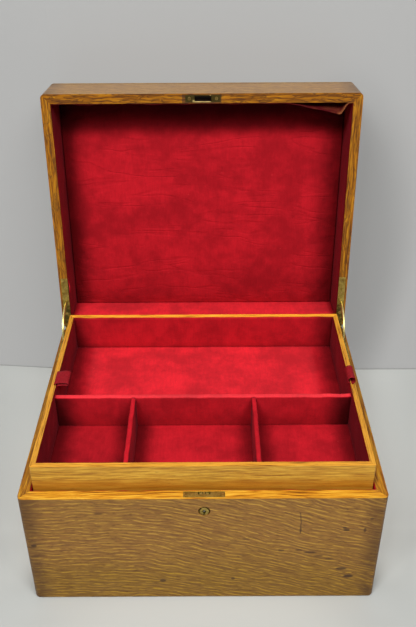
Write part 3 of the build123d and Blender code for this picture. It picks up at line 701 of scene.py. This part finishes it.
def wall_look(colour):
    """The wall's paper, with a painted shadow beside the lid's right side: it isn't there from behind, casts
    no shadow, and glows with part of its colour to the camera and in what mirrors it."""
    look, mottle, shade, (x, _, z) = paper("paper_wall", colour)
    # A painted shadow of the lid, on the wall to its right.
    shade = look.mix(look.spot(x, z, (0.22, 0.22), (0.14, 0.34)) * 0.5, shade, scaled(colour, 0.55))
    camera, glossy, shadow = (look.node("ShaderNodeLightPath", out=f"Is {ray} Ray")
                              for ray in ("Camera", "Glossy", "Shadow"))
    look.finish(look.times(shade, 0.42), height=mottle, **PAPER, Emission_Strength=0.56,
                Emission_Color=look.times(shade, camera.at_least(glossy)))
    behind = look.node("ShaderNodeNewGeometry", out="Backfacing")
    both = look.node("ShaderNodeMixShader", values={
        0: behind.at_least(shadow), 1: Wire(look, look.shader.outputs[0]),
        2: look.node("ShaderNodeBsdfTransparent")})
    look.feed(look.surface, both)
    return look.material


# What a user may change

class ChestColours(bpy.types.PropertyGroup):
    """Colours of the cloth and the stage."""

    velvet_light: FloatVectorProperty(name="Velvet, brushed", subtype="COLOR", size=3, min=0, max=1,
                                      description="Velvet where the pile faces the light",
                                      default=lin(190, 26, 38))
    velvet_dark: FloatVectorProperty(name="Velvet, shaded", description="Velvet where the pile faces away",
                                     subtype="COLOR", size=3, min=0, max=1, default=lin(154, 19, 29))
    floor: FloatVectorProperty(name="Floor", description="The paper under the chest",
                               subtype="COLOR", size=3, min=0, max=1, default=lin(200, 202, 199))
    wall: FloatVectorProperty(name="Wall", description="The paper behind the chest",
                              subtype="COLOR", size=3, min=0, max=1, default=lin(184, 184, 183))


class ChestSizes(bpy.types.PropertyGroup):
    """Sizes of the soft pieces and the stage, in metres unless a name says otherwise."""

    flap_sag: FloatProperty(name="Loose flap", description="How far the lid lining's loose corner hangs",
                            default=0.0155, min=0, max=0.02, unit="LENGTH")
    hinge_lift: FloatProperty(name="Lifted edge", default=0.0018, min=0, max=0.002, unit="LENGTH",
                              description="How far the lining stands off by the left hinge")
    pad_roll: FloatProperty(name="Pad roll", description="How far in from its edge the lid pad rounds over",
                            default=0.0022, min=0.001, max=0.04, unit="LENGTH")
    pad_swell: FloatProperty(name="Pad swell", description="The most that stuffing may push the pad's cloth",
                             default=0.0022, min=0, max=0.005, unit="LENGTH")
    ribbon_thickness: FloatProperty(name="Ribbon", description="The ribbon's thickness",
                                    default=0.0004, min=0.0001, max=0.001, unit="LENGTH")
    wall_place: FloatProperty(name="Wall place", default=0.3125, min=0.3, max=3, unit="LENGTH",
                              description="How far behind the chest's middle the wall stands")
    pad_frames: IntProperty(name="Pad steps", description="Steps of the pad's cloth simulation",
                            default=20, min=1, max=60)


# Pieces

class CHEST_OT_case(bpy.types.Operator):
    """Gives the base and the lid their quartersawn oak"""

    bl_idname = "chest.case"
    bl_label = "Case oak"

    def execute(self, context):
        for board, along, seed, extra in (
                ("front_board", "x", 0.0, {"tilt": 0.13, "arch": 0.18, "middle": -0.08, "marks": front_marks}),
                ("back_board", "x", 7.0, {"tilt": -0.05, "arch": -0.2, "middle": 0.05}),
                ("left_board", "y", 13.0, {"tilt": 0.06, "arch": 0.15, "middle": 0.02}),
                ("right_board", "y", 21.0, {"tilt": -0.08, "arch": 0.1, "middle": -0.04}),
                ("lid_front_rail", "x", 33.0, {"tilt": 0.03, "coat": 0.35, "marks": strike_painted_shade}),
                ("lid_back_rail", "x", 41.0, {"tilt": -0.04}),
                ("lid_left_rail", "y", 47.0, {"tilt": 0.05}),
                ("lid_right_rail", "y", 53.0, {"tilt": -0.03})):
            # The base's side rims get a painted shade towards the back.
            lid, side = board.startswith("lid"), along == "y"
            tone = (0.1 if side else 0.0) if lid else (0.4 if side else 1.0)
            dress(case_oak(f"oak_{board}", board, along, "z", "x" if side else "y", seed, lid,
                           rim=lid_rim if lid else base_rim, rim_tone=tone,
                           rim_painted_shade=0.3 if side and not lid else 0.0, **extra), board)
        dress(case_oak("oak_lid_top", "lid_top_board", "x", "y", "z", 61.0, True, tilt=0.04, arch=0.12),
              "lid_top_board")
        dress(case_oak("oak_bottom", "bottom_board", "x", "y", "z", 29.0, tone=0.8), "bottom_board")
        return {"FINISHED"}


class CHEST_OT_tray_wood(bpy.types.Operator):
    """Gives the tray its golden oak, and the hidden strips and boards plain oak"""

    bl_idname = "chest.tray_wood"
    bl_label = "Tray oak"

    def execute(self, context):
        dress(tray_oak("oak_tray_front", "x", "z", "y", 3.0), "tray_front_wall")
        # The back wall's top edges get a painted highlight and the sides' a little painted shade.
        dress(tray_oak("oak_tray_back", "x", "z", "y", 5.0, edge=1.16), "tray_back_wall")
        dress(tray_oak("oak_tray_sides", "y", "z", "x", 11.0, edge=0.95), "tray_left_wall",
              "tray_right_wall")
        dress(plain_oak(), "tray_bottom", "tray_cleats", "long_divider", "short_divider_left",
              "short_divider_right")
        return {"FINISHED"}


class CHEST_OT_brasswork(bpy.types.Operator):
    """Gives the hinges, the lock and the screws their metals"""

    bl_idname = "chest.brasswork"
    bl_label = "Brass and steel"

    def execute(self, context):
        dull, bright = lin(138, 116, 53), lin(186, 162, 88)
        dress(brass("brass_hinges", lin(154, 130, 58), lin(206, 182, 98), 0.46, tarnish=0.4, grime=True),
              "base_hinge_leaf_left", "base_hinge_leaf_right", "lid_hinge_leaf_left", "lid_hinge_leaf_right")
        dress(brass("brass_lock", dull, bright, 0.46), "lock_selvedge", "lock_nozzle", "lock_case",
              "lock_cap")
        dress(brass("brass_strike", dull, bright, 0.46, strike=True), "strike_plate")
        dress(brass("brass_screws", lin(140, 112, 54), lin(206, 178, 104), 0.36),
              "base_hinge_screws", "lid_hinge_screws", "lock_screws", "strike_screws")
        dress(brass("brass_rubbed", lin(206, 190, 108), lin(232, 220, 146), 0.42, tarnish=0.12, wear=0.3),
              "hinge_stay_left", "hinge_stay_right", "claw_left", "claw_right")
        dress(steel_look(), "hinge_pins", "claw_pins", "drill_pin", "cleat_screws")
        return {"FINISHED"}


class CHEST_OT_well_lining(bpy.types.Operator):
    """Lines the well below the tray with glued velvet"""

    bl_idname = "chest.well_lining"
    bl_label = "Well lining"

    def execute(self, context):
        cloth = velvet("velvet_well")
        for seed, (node, normal, board) in enumerate((
                ("well_lining_front", "+y", "front_board"), ("well_lining_back", "-y", "back_board"),
                ("well_lining_left", "+x", "left_board"), ("well_lining_right", "-x", "right_board"))):
            # Painted shade: each wall lining darker towards the floor.
            use(lining(f"{node}_velvet", node, "base", normal, "+z", 100 + seed * 5,
                       nap=brushed(low=(0.0, 0.03, 0.3))), cloth)
        use(lining("well_floor_velvet", "well_floor_lining", "base", "+z", "+y", 140), cloth)
        return {"FINISHED"}


class CHEST_OT_lid_lining(bpy.types.Operator):
    """Lines the lid's rails; one corner has come unstuck and hangs"""

    bl_idname = "chest.lid_lining"
    bl_label = "Lid lining"

    def execute(self, context):
        sizes = context.scene.chest_sizes
        cloth = velvet("velvet_lid", shut=True)
        low, high = node_box("lid_lining_front", shut=True)
        tall = high[2] - low[2]

        def flap(u, v):
            """Loose at the rim from x 0.108 to 0.198, most at 0.186, fading into the lid within 30 mm;
            smaller waves along the rest of the rim."""
            x = u + low[0]
            near = rise(v, tall - 30 * MM, tall)
            loose = np.clip((x - 0.108) / 0.079, 0, 1) ** 1.35 * (1 - rise(x, 0.186, 0.198))
            waves = np.clip(ripple(u * 10, 0 * u, 17, 0.6, 2.4), 0, 1) * 1.1 * MM
            return sizes.flap_sag * loose * near + waves * near ** 3

        # Painted shade: the front lining darker all over.
        front = lining("lid_lining_front_velvet", "lid_lining_front", "lid", "+y", "-z", 200, True, flap,
                       step=3 * MM, nap=brushed(bright=0.5))
        use(use(front, cloth), glued_back())
        front.modifiers["thickness"].material_offset = 1
        front.modifiers["thickness"].material_offset_rim = 1
        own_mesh(front)
        # Painted light: the back lining brighter, with painted shade at its ends.
        nap = brushed(bright=1.75, start=(0.0, 0.012, 0.5), end=(0.0, 0.012, 0.5))
        use(lining("lid_lining_back_velvet", "lid_lining_back", "lid", "-y", "-z", 210, True,
                   nap=nap), cloth)
        left_low, left_high = node_box("lid_lining_left", shut=True)
        hinge_y = 0.108

        def lifted(u, v):
            """A small edge of cloth that stands off beside the hinge."""
            deep = left_high[2] - left_low[2]
            return sizes.hinge_lift * hill(u + left_low[1], hinge_y, 0.015) * rise(v, deep - 9 * MM, deep)

        # Painted shade: the sides darker, and darker still towards the pad and the front.
        sides = brushed(bright=0.42, low=(0.0, 0.02, 0.3), start=(0.0, 0.06, 0.5))

        def frayed(u, v, long, tall):
            """The sides' painted light and shade, and bright where the lifted edge shows its fray."""
            fray = hill(u + left_low[1], hinge_y, 0.013) * rise(v, tall - 4.5 * MM, tall - 2 * MM)
            return sides(u, v, long, tall) + 1.5 * fray

        use(lining("lid_lining_left_velvet", "lid_lining_left", "lid", "+x", "-z", 220, True, lifted,
                   step=1.5 * MM, nap=frayed), cloth)
        use(lining("lid_lining_right_velvet", "lid_lining_right", "lid", "-x", "-z", 230, True,
                   nap=sides), cloth)
        return {"FINISHED"}


def pad_points(low, high, roll, columns, rows):
    """The shut lid pad's lower skin: a sheet at the pad's face that rolls up to the board at its edges,
    depth = thickness (1 - (1 - d / roll)^3) ^ (1 / 3), with d the distance from the nearest edge."""
    fine = np.array([0, 0.04, 0.14, 0.3, 0.52, 0.8]) * roll
    x, y = np.meshgrid(*(
        np.concatenate([a + fine, np.linspace(a + 1.1 * roll, b - 1.1 * roll, count), b - fine[::-1]])
        for a, b, count in ((low[0], high[0], columns), (low[1], high[1], rows))))
    edge_x = np.minimum(x - low[0], high[0] - x)
    edge_y = np.minimum(y - low[1], high[1] - y)
    near = np.hypot(np.clip(1 - edge_x / roll, 0, 1), np.clip(1 - edge_y / roll, 0, 1))
    depth = (high[2] - low[2]) * np.cbrt(1 - np.clip(near, 0, 1) ** 3)
    return np.stack([x, y, high[2] - depth], axis=-1)


class CHEST_OT_lid_pad(bpy.types.Operator):
    """Makes the padded panel in the lid; its cloth is swollen by a short simulation"""

    bl_idname = "chest.lid_pad"
    bl_label = "Lid pad"

    def execute(self, context):
        sizes = context.scene.chest_sizes
        low, high = node_box("lid_pad", shut=True)
        prouder, gap = 4.4, 0.1
        low = low - np.array([0.0, 0.0, prouder]) * MM
        high = high - np.array([0.0, 0.0, gap]) * MM
        skin = pad_points(low, high, sizes.pad_roll, 102, 82)
        u, v = skin[..., 0] - low[0], skin[..., 1] - low[1]
        # Painted light and shade: the pad brighter overall, darker towards its edges, and most at its top
        # under the front rail's shadow.
        nap = paint_light(u, v, high[0] - low[0], high[1] - low[1], bright=1.22, low=(0.038, 0.062, 0.70),
                  high=(0.0, 0.08, 0.28), start=(0.0, 0.045, 0.68), end=(0.0, 0.055, 0.62))
        # A painted shadow along the top band.
        nap = nap * (1 - 0.6 * (1 - rise(v, 0.016, 0.034)))
        pad = grid_mesh("lid_pad_velvet", opened(skin), flip=True, nap=nap)
        swell(pad, sizes)
        thicken(pad, 0.8 * MM)
        use(pad, velvet("velvet_pad", shut=True, folds=0.07))
        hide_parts("lid_pad")
        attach(pad, "lid")
        return {"FINISHED"}


def swell(pad, sizes):
    """Cloth simulation of the pad's skin: its rolled edges are held, pressure lifts the rest, and no point
    moves further than the cap."""
    context = bpy.context
    mesh = pad.data
    before = mesh_points(mesh)
    shut = turned(before, OPEN_ANGLE)
    low, high = shut.min(0), shut.max(0)
    edge = np.minimum(shut - low, high - shut)[:, :2].min(1)
    held = pad.vertex_groups.new(name="glued")
    held.add(np.flatnonzero(edge < 6 * MM).tolist(), 1.0, "REPLACE")
    cloth = pad.modifiers.new("swell", "CLOTH")
    for name, value in (("quality", 6), ("mass", 0.2), ("tension_stiffness", 12),
                        ("compression_stiffness", 12), ("shear_stiffness", 4), ("bending_stiffness", 0.4),
                        ("vertex_group_mass", "glued"), ("shrink_min", -0.012), ("use_pressure", True),
                        ("uniform_pressure_force", 1.5)):
        setattr(cloth.settings, name, value)
    cloth.settings.effector_weights.gravity = 0
    cloth.point_cache.frame_start = 1
    cloth.point_cache.frame_end = sizes.pad_frames
    for step in range(1, sizes.pad_frames + 1):
        context.scene.frame_set(step)
    shape = pad.evaluated_get(context.evaluated_depsgraph_get())
    move = mesh_points(shape.data) - before
    far = np.linalg.norm(move, axis=1, keepdims=True)
    move = move * (np.tanh(far / sizes.pad_swell) * sizes.pad_swell / np.maximum(far, 1e-9))
    pad.modifiers.remove(cloth)
    mesh.vertices.foreach_set("co", (before + move).astype(np.float32).ravel())
    mesh.update()
    context.scene.frame_set(1)


def notch(board, axis, fold):
    """What a lining leaves out for a divider that ends at it: from where, to where and up to where."""
    low, high = node_box(board)
    return low[axis] - fold, high[axis] + fold, high[2] + fold


class CHEST_OT_tray_lining(bpy.types.Operator):
    """Lines the tray's walls and compartments"""

    bl_idname = "chest.tray_lining"
    bl_label = "Tray lining"

    def execute(self, context):
        cloth = velvet("velvet_tray")
        low, high = node_box("tray_wall_linings")
        floors = solid_boxes("tray_floor_linings")
        thin = np.min([box[0] for box in floors], axis=0) - low
        fold = node_box("divider_covers")[1][2] - node_box("long_divider")[1][2]
        long_notch = notch("long_divider", 1, fold)
        short_notches = [notch(f"short_divider_{side}", 0, fold) for side in ("left", "right")]
        # Painted light and shade: the side walls darker, the front a little darker and the back brighter, each
        # darker towards the floor, and the back at its ends too.
        sides = brushed(bright=0.42, low=(0.0, 0.03, 0.3))
        for number, (normal, board, notches, look_of) in enumerate((
                ("+x", "tray_left_wall", [long_notch], sides), ("-x", "tray_right_wall", [long_notch], sides),
                ("+y", "tray_front_wall", short_notches, brushed(bright=0.8, low=(0.0, 0.03, 0.35))),
                ("-y", "tray_back_wall", [], brushed(bright=1.2, start=(0.0, 0.035, 0.6),
                                                     end=(0.0, 0.04, 0.6), low=(0.0, 0.012, 0.25))))):
            axis = AXES[normal[1]]
            box_low, box_high = low.copy(), high.copy()
            if normal[1] == "x":
                box_low[1], box_high[1] = low[1] + thin[0], high[1] - thin[0]
            if normal[0] == "+":
                box_high[axis] = low[axis] + thin[0]
            else:
                box_low[axis] = high[axis] - thin[0]
            use(lining(f"{board}_velvet", "tray_wall_linings", "tray", normal, "+z", 300 + number * 7,
                       box=(box_low, box_high), notches=notches, nap=look_of), cloth)
        for number, (low, high) in enumerate(floors):
            def crown(u, v, wide=high[0] - low[0], deep=high[1] - low[1]):
                """The floor cloth rises a little where it meets the walls."""
                edge = np.minimum(np.minimum(u, wide - u), np.minimum(v, deep - v))
                return 0.9 * MM * (1 - rise(edge, 0, 5 * MM))

            # Painted light and shade: the back floor brighter, the first front floor darker than the others,
            # and each darker towards its walls.
            back = low[1] > long_notch[0]
            look_of = (brushed(bright=1.75, start=(0.0, 0.040, 0.68), end=(0.0, 0.044, 0.68)) if back else
                       brushed(bright=1.2 if number else 0.95, start=(0.0, 0.036, 0.6), end=(0.0, 0.028, 0.5),
                               low=(0.0, 0.03, 0.4)))
            use(lining(f"tray_floor_velvet_{number + 1}", "tray_floor_linings", "tray", "+z", "+y",
                       400 + number * 7, lift=crown, edge=lambda u: 0 * u, box=(low, high), step=2.5 * MM,
                       nap=look_of), cloth)
        return {"FINISHED"}


def solid_boxes(node):
    """The boxes of a node's separate solids, found by the corners that its triangles join."""
    mesh = NODES[node].data
    points = node_points(node)
    keys, same = np.unique(np.round(points, 6), axis=0, return_inverse=True)
    same = same.reshape(-1)
    corners = np.zeros(len(mesh.loops), np.int32)
    mesh.loops.foreach_get("vertex_index", corners)
    triangles = same[corners.reshape(-1, 3)]
    label = np.arange(len(keys))
    while True:
        least = label[triangles].min(1)
        new = label.copy()
        for k in range(3):
            np.minimum.at(new, triangles[:, k], least)
        if (new == label).all():
            break
        label = new
    boxes = [(keys[label == one].min(0), keys[label == one].max(0)) for one in np.unique(label)]
    return sorted(boxes, key=lambda box: tuple(np.round(box[0], 4)))


def cover_points(low, high, along, round_over, seed, face, top):
    """Velvet folded over a divider: an upside-down U carried along it. Its profile goes up one side,
    round a quarter circle, over a slightly crowned top, round another quarter and down. Its painted light
    and shade is as bright as face on its sides, darker towards their foot and their ends, and as bright as top
    above."""
    a = AXES[along]
    b = 1 - a
    half = (high[b] - low[b]) / 2
    middle = (high[b] + low[b]) / 2
    turn = np.linspace(0, math.pi / 2, 9)
    side_z = np.linspace(low[2], high[2] - round_over, 14)[:-1]
    left = np.stack([np.full_like(side_z, -half), side_z], axis=-1)
    corner = np.stack([-half + round_over * (1 - np.cos(turn)),
                       high[2] - round_over * (1 - np.sin(turn))], axis=-1)
    run = np.concatenate([left, corner])
    profile = np.concatenate([run, (run * np.array([-1, 1]))[::-1]])
    columns = max(8, int(round((high[a] - low[a]) / (4 * MM))))
    s = np.linspace(low[a], high[a], columns + 1)
    grid_b = np.broadcast_to(profile[None, :, 0], (columns + 1, len(profile))).copy()
    grid_z = np.broadcast_to(profile[None, :, 1], (columns + 1, len(profile))).copy()
    share = (grid_z - low[2]) / (high[2] - low[2])
    grid_s = np.broadcast_to(s[:, None], grid_b.shape)
    grid_b = grid_b + 0.18 * MM * ripple(grid_s * 14, grid_z * 14, seed)
    grid_z = grid_z + 0.22 * MM * share * ripple(grid_s * 11, 0 * grid_s, seed + 1)
    points = np.zeros((*grid_b.shape, 3))
    points[..., a] = grid_s
    points[..., b] = middle + grid_b
    points[..., 2] = grid_z
    length = float(np.linalg.norm(np.diff(profile, axis=0), axis=1).sum())
    ends = np.minimum(grid_s - grid_s.min(), grid_s.max() - grid_s)
    sides = face * (0.62 + 0.38 * rise(share, 0.0, 0.8)) * (0.2 + 0.8 * rise(ends, 0.006, 0.042))
    nap = sides + (top - sides) * rise(share, 0.96, 0.995)
    return points, nap, length


class CHEST_OT_divider_covers(bpy.types.Operator):
    """Folds velvet over the tray's three dividers"""

    bl_idname = "chest.divider_covers"
    bl_label = "Divider covers"

    def execute(self, context):
        cloth = velvet("velvet_dividers")
        for number, (low, high) in enumerate(solid_boxes("divider_covers")):
            along = "x" if high[0] - low[0] > high[1] - low[1] else "y"
            # Painted light: the long divider brighter on its sides and top than the short ones.
            brightness = (1.2, 2.0) if along == "x" else (0.75, 1.25)
            points, nap, length = cover_points(low, high, along, 1.8 * MM, 500 + number * 9, *brightness)
            piece = grid_mesh(f"divider_cover_velvet_{number + 1}", points, flip=(along == "y"), nap=nap)
            thicken(piece, 0.45 * MM)
            use(piece, cloth)
            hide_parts("divider_covers")
            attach(piece, "tray")
        return {"FINISHED"}


def ribbon_path(root, tail_low, side, puffed):
    """The ribbon's line in the XZ plane, in mm from its root: up the wall, over its edge, round the loop and
    down again. One loop lies flat over the tray, and the other is puffed to a tube on the wall."""
    foot = (tail_low - root[1]) / MM
    if puffed:
        turn = np.linspace(math.radians(-75), math.radians(240), 24)
        tube = np.stack([-1.0 + 5.4 * np.cos(turn), 3.9 + 5.2 * np.sin(turn)], axis=-1)
        line = np.concatenate([[(0.3, foot), (0.3, -8), (0.3, -2.6)], tube,
                               [(-0.3, -2.4), (-0.3, -8), (-0.3, foot)]])
    else:
        line = np.array([
            (-0.3, foot), (-0.3, -8), (-0.3, -3), (-0.5, -1.5), (-1.6, -0.9), (-2.5, 0.2), (-1.9, 1.3),
            (0, 1.7), (5, 2.1), (11, 2.3), (15.0, 2.2), (16.8, 1.2), (17.2, -0.3), (16.4, -1.8),
            (14.0, -2.4), (8, -2.2), (3, -2.3), (1.1, -2.9), (0.3, -4.5), (0.3, -8), (0.3, foot)])
    return line * MM * np.array([side, 1]) + np.array(root)


def smooth_line(points, count):
    """A smooth line through points: chord-length spacing, then a repeated three-point mean."""
    steps = np.linalg.norm(np.diff(points, axis=0), axis=1)
    distance = np.concatenate([[0], np.cumsum(steps)])
    spaced = np.linspace(0, distance[-1], count)
    line = np.stack([np.interp(spaced, distance, points[:, k]) for k in range(points.shape[1])], axis=-1)
    for _ in range(6):
        line[1:-1] = 0.25 * line[:-2] + 0.5 * line[1:-1] + 0.25 * line[2:]
    return line, distance[-1]


class CHEST_OT_ribbon_pulls(bpy.types.Operator):
    """Makes the two ribbon pulls: one lies flat over the edge, one stands puffed"""

    bl_idname = "chest.ribbon_pulls"
    bl_label = "Ribbon pulls"

    def execute(self, context):
        sizes = context.scene.chest_sizes
        cloth = ribbon_look()
        for side, name in ((1, "left"), (-1, "right")):
            joint = next(j for j in frame["joints"] if j["name"] == f"ribbon_{name}_fold")
            root_x, _, root_z = joint["pos_m"]
            low, high = node_box(f"ribbon_tail_{name}")
            line = ribbon_path((root_x, root_z), low[2] + 1 * MM, side, name == "right")
            line, length = smooth_line(line, 110)
            across = np.linspace(low[1] + 0.2 * MM, high[1] - 0.2 * MM, 11)
            s = np.linspace(0, length, len(line))
            points = np.zeros((len(line), len(across), 3))
            points[..., 0] = line[:, None, 0]
            points[..., 1] = across[None, :]
            points[..., 2] = line[:, None, 1]
            free = rise(s, 25 * MM, 31 * MM) * (1 - rise(s, length - 31 * MM, length - 25 * MM))
            cup = ripple(s[:, None] * 20, across[None, :] * 25, 61 + side)
            points[..., 2] += 0.3 * MM * cup * free[:, None]
            uv = np.stack(np.broadcast_arrays(across[None, :], s[:, None]), axis=-1)
            piece = grid_mesh(f"ribbon_pull_{name}", points, flip=(side < 0), uv=uv)
            thicken(piece, sizes.ribbon_thickness, 0.0)
            use(piece, cloth)
            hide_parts(f"ribbon_tail_{name}", f"ribbon_loop_{name}")
            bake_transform(piece)
        return {"FINISHED"}


def area_lamp(name, place, aim, size, power, colour):
    """A square soft lamp that looks at a point."""
    data = bpy.data.lights.new(name, "AREA")
    data.shape = "RECTANGLE"
    data.size, data.size_y = size
    data.energy = power
    data.color = colour
    lamp = bpy.data.objects.new(name, data)
    lamp.location = place
    lamp.rotation_euler = (Vector(aim) - Vector(place)).to_track_quat("-Z", "Y").to_euler()
    bpy.context.scene.collection.objects.link(lamp)


def stage_sheet(name, first, second, material):
    """A sheet of the stage between two rows of corners."""
    mesh = bpy.data.meshes.new(name)
    count = len(first)
    mesh.from_pydata([*first, *second], [], [(i, i + 1, i + 1 + count, i + count) for i in range(count - 1)])
    made = bpy.data.objects.new(name, mesh)
    bpy.context.scene.collection.objects.link(made)
    mesh.materials.append(material)


def towards(azimuth, elevation, distance, aim):
    """A point seen from aim at an azimuth from straight in front, towards the right, and an elevation."""
    a, e = math.radians(azimuth), math.radians(elevation)
    return (aim[0] + distance * math.sin(a) * math.cos(e), aim[1] - distance * math.cos(a) * math.cos(e),
            aim[2] + distance * math.sin(e))


# The photo's camera, fitted to it: its place, its turn (yaw, pitch and roll in degrees) and its lens
CAMERA_PLACE = (0.00746, -0.80764, 0.84442)
CAMERA_TURN = (-0.034, 32.933, -0.295)
FOCAL_LENGTH, SENSOR_WIDTH = 44.211, 36.0


def photo_camera():
    """The camera, looking forward with yaw and pitch, and rolled about that line."""
    data = bpy.data.cameras.new("camera")
    data.lens = FOCAL_LENGTH
    data.sensor_width = SENSOR_WIDTH
    data.clip_start = 0.05
    camera = bpy.data.objects.new("camera", data)
    yaw, pitch, roll = (math.radians(a) for a in CAMERA_TURN)
    forward = Vector((math.sin(yaw) * math.cos(pitch), math.cos(yaw) * math.cos(pitch), -math.sin(pitch)))
    right = Vector((math.cos(yaw), -math.sin(yaw), 0.0))
    up = right.cross(forward)
    right, up = (math.cos(roll) * right + math.sin(roll) * up, math.cos(roll) * up - math.sin(roll) * right)
    turn = Matrix((right, up, -forward)).transposed()
    camera.matrix_world = Matrix.Translation(CAMERA_PLACE) @ turn.to_4x4()
    return camera


class CHEST_OT_stage(bpy.types.Operator):
    """Sets out the paper, the soft lamps and the camera"""

    bl_idname = "chest.stage"
    bl_label = "Stage"

    def execute(self, context):
        scene = context.scene
        colours, sizes = scene.chest_colours, scene.chest_sizes
        wide, tall = 6.0, 3.0
        foot = [(x, sizes.wall_place + y) for x, y in (
            (-wide, 0.032), (-0.370, 0.0145), (-0.290, 0.0065), (-0.215, 0.0), (0.0, 0.0), (0.2, -0.003),
            (wide, -0.003))]
        stage_sheet("floor", [(-wide, -wide, 0), (wide, -wide, 0)], [(-wide, wide, 0), (wide, wide, 0)],
                    floor_look(tuple(colours.floor)))
        stage_sheet("wall", [(x, y, 0) for x, y in foot], [(x, y, tall) for x, y in foot],
                    wall_look(tuple(colours.wall)))
        aim, soft_white = (0.0, 0.0, 0.25), (1.0, 1.0, 0.99)
        area_lamp("lamp_left", towards(-27, 50, 3.0, aim), aim, (0.9, 0.9), 50, soft_white)
        area_lamp("lamp_right", towards(28, 48, 3.0, aim), aim, (1.2, 1.2), 46, soft_white)
        area_lamp("lamp_top", (0.0, 0.12, 1.5), (0.0, 0.12, 0.0), (0.5, 0.5), 2.5, (1.0, 1.0, 1.0))
        area_lamp("lamp_back", (0.0, 3.2, 0.25), (0.0, 0.2, 0.25), (2.4, 0.5), 36, soft_white)
        scene.world = bpy.data.worlds.new("room")
        scene.world.use_nodes = True
        background = scene.world.node_tree.nodes["Background"]
        background.inputs["Color"].default_value = (0.86, 0.87, 0.88, 1.0)
        background.inputs["Strength"].default_value = 0.08
        camera = photo_camera()
        scene.collection.objects.link(camera)
        scene.camera = camera
        scene.view_settings.view_transform = "Standard"
        return {"FINISHED"}


OPERATORS = (CHEST_OT_stage, CHEST_OT_case, CHEST_OT_tray_wood, CHEST_OT_brasswork, CHEST_OT_well_lining,
             CHEST_OT_lid_lining, CHEST_OT_lid_pad, CHEST_OT_tray_lining, CHEST_OT_divider_covers,
             CHEST_OT_ribbon_pulls)


class CHEST_PT_panel(bpy.types.Panel):
    """Lists the chest's pieces and settings"""

    bl_idname = "CHEST_PT_panel"
    bl_label = "Silverware Chest"
    bl_space_type = "VIEW_3D"
    bl_region_type = "UI"
    bl_category = "Chest"

    def draw(self, context):
        column = self.layout.column()
        for group in (context.scene.chest_colours, context.scene.chest_sizes):
            for name in group.bl_rna.properties.keys():
                if name not in ("rna_type", "name"):
                    column.prop(group, name)
        for operator in OPERATORS:
            column.operator(operator.bl_idname)


CLASSES = (ChestColours, ChestSizes, *OPERATORS, CHEST_PT_panel)


def register():
    for one in CLASSES:
        bpy.utils.register_class(one)
    bpy.types.Scene.chest_colours = PointerProperty(type=ChestColours)
    bpy.types.Scene.chest_sizes = PointerProperty(type=ChestSizes)


def unregister():
    del bpy.types.Scene.chest_sizes
    del bpy.types.Scene.chest_colours
    for one in reversed(CLASSES):
        bpy.utils.unregister_class(one)


def main():
    register()
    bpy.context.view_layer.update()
    for operator in OPERATORS:
        group, name = operator.bl_idname.split(".")
        getattr(getattr(bpy.ops, group), name)()


if __name__ == "__main__":
    main()
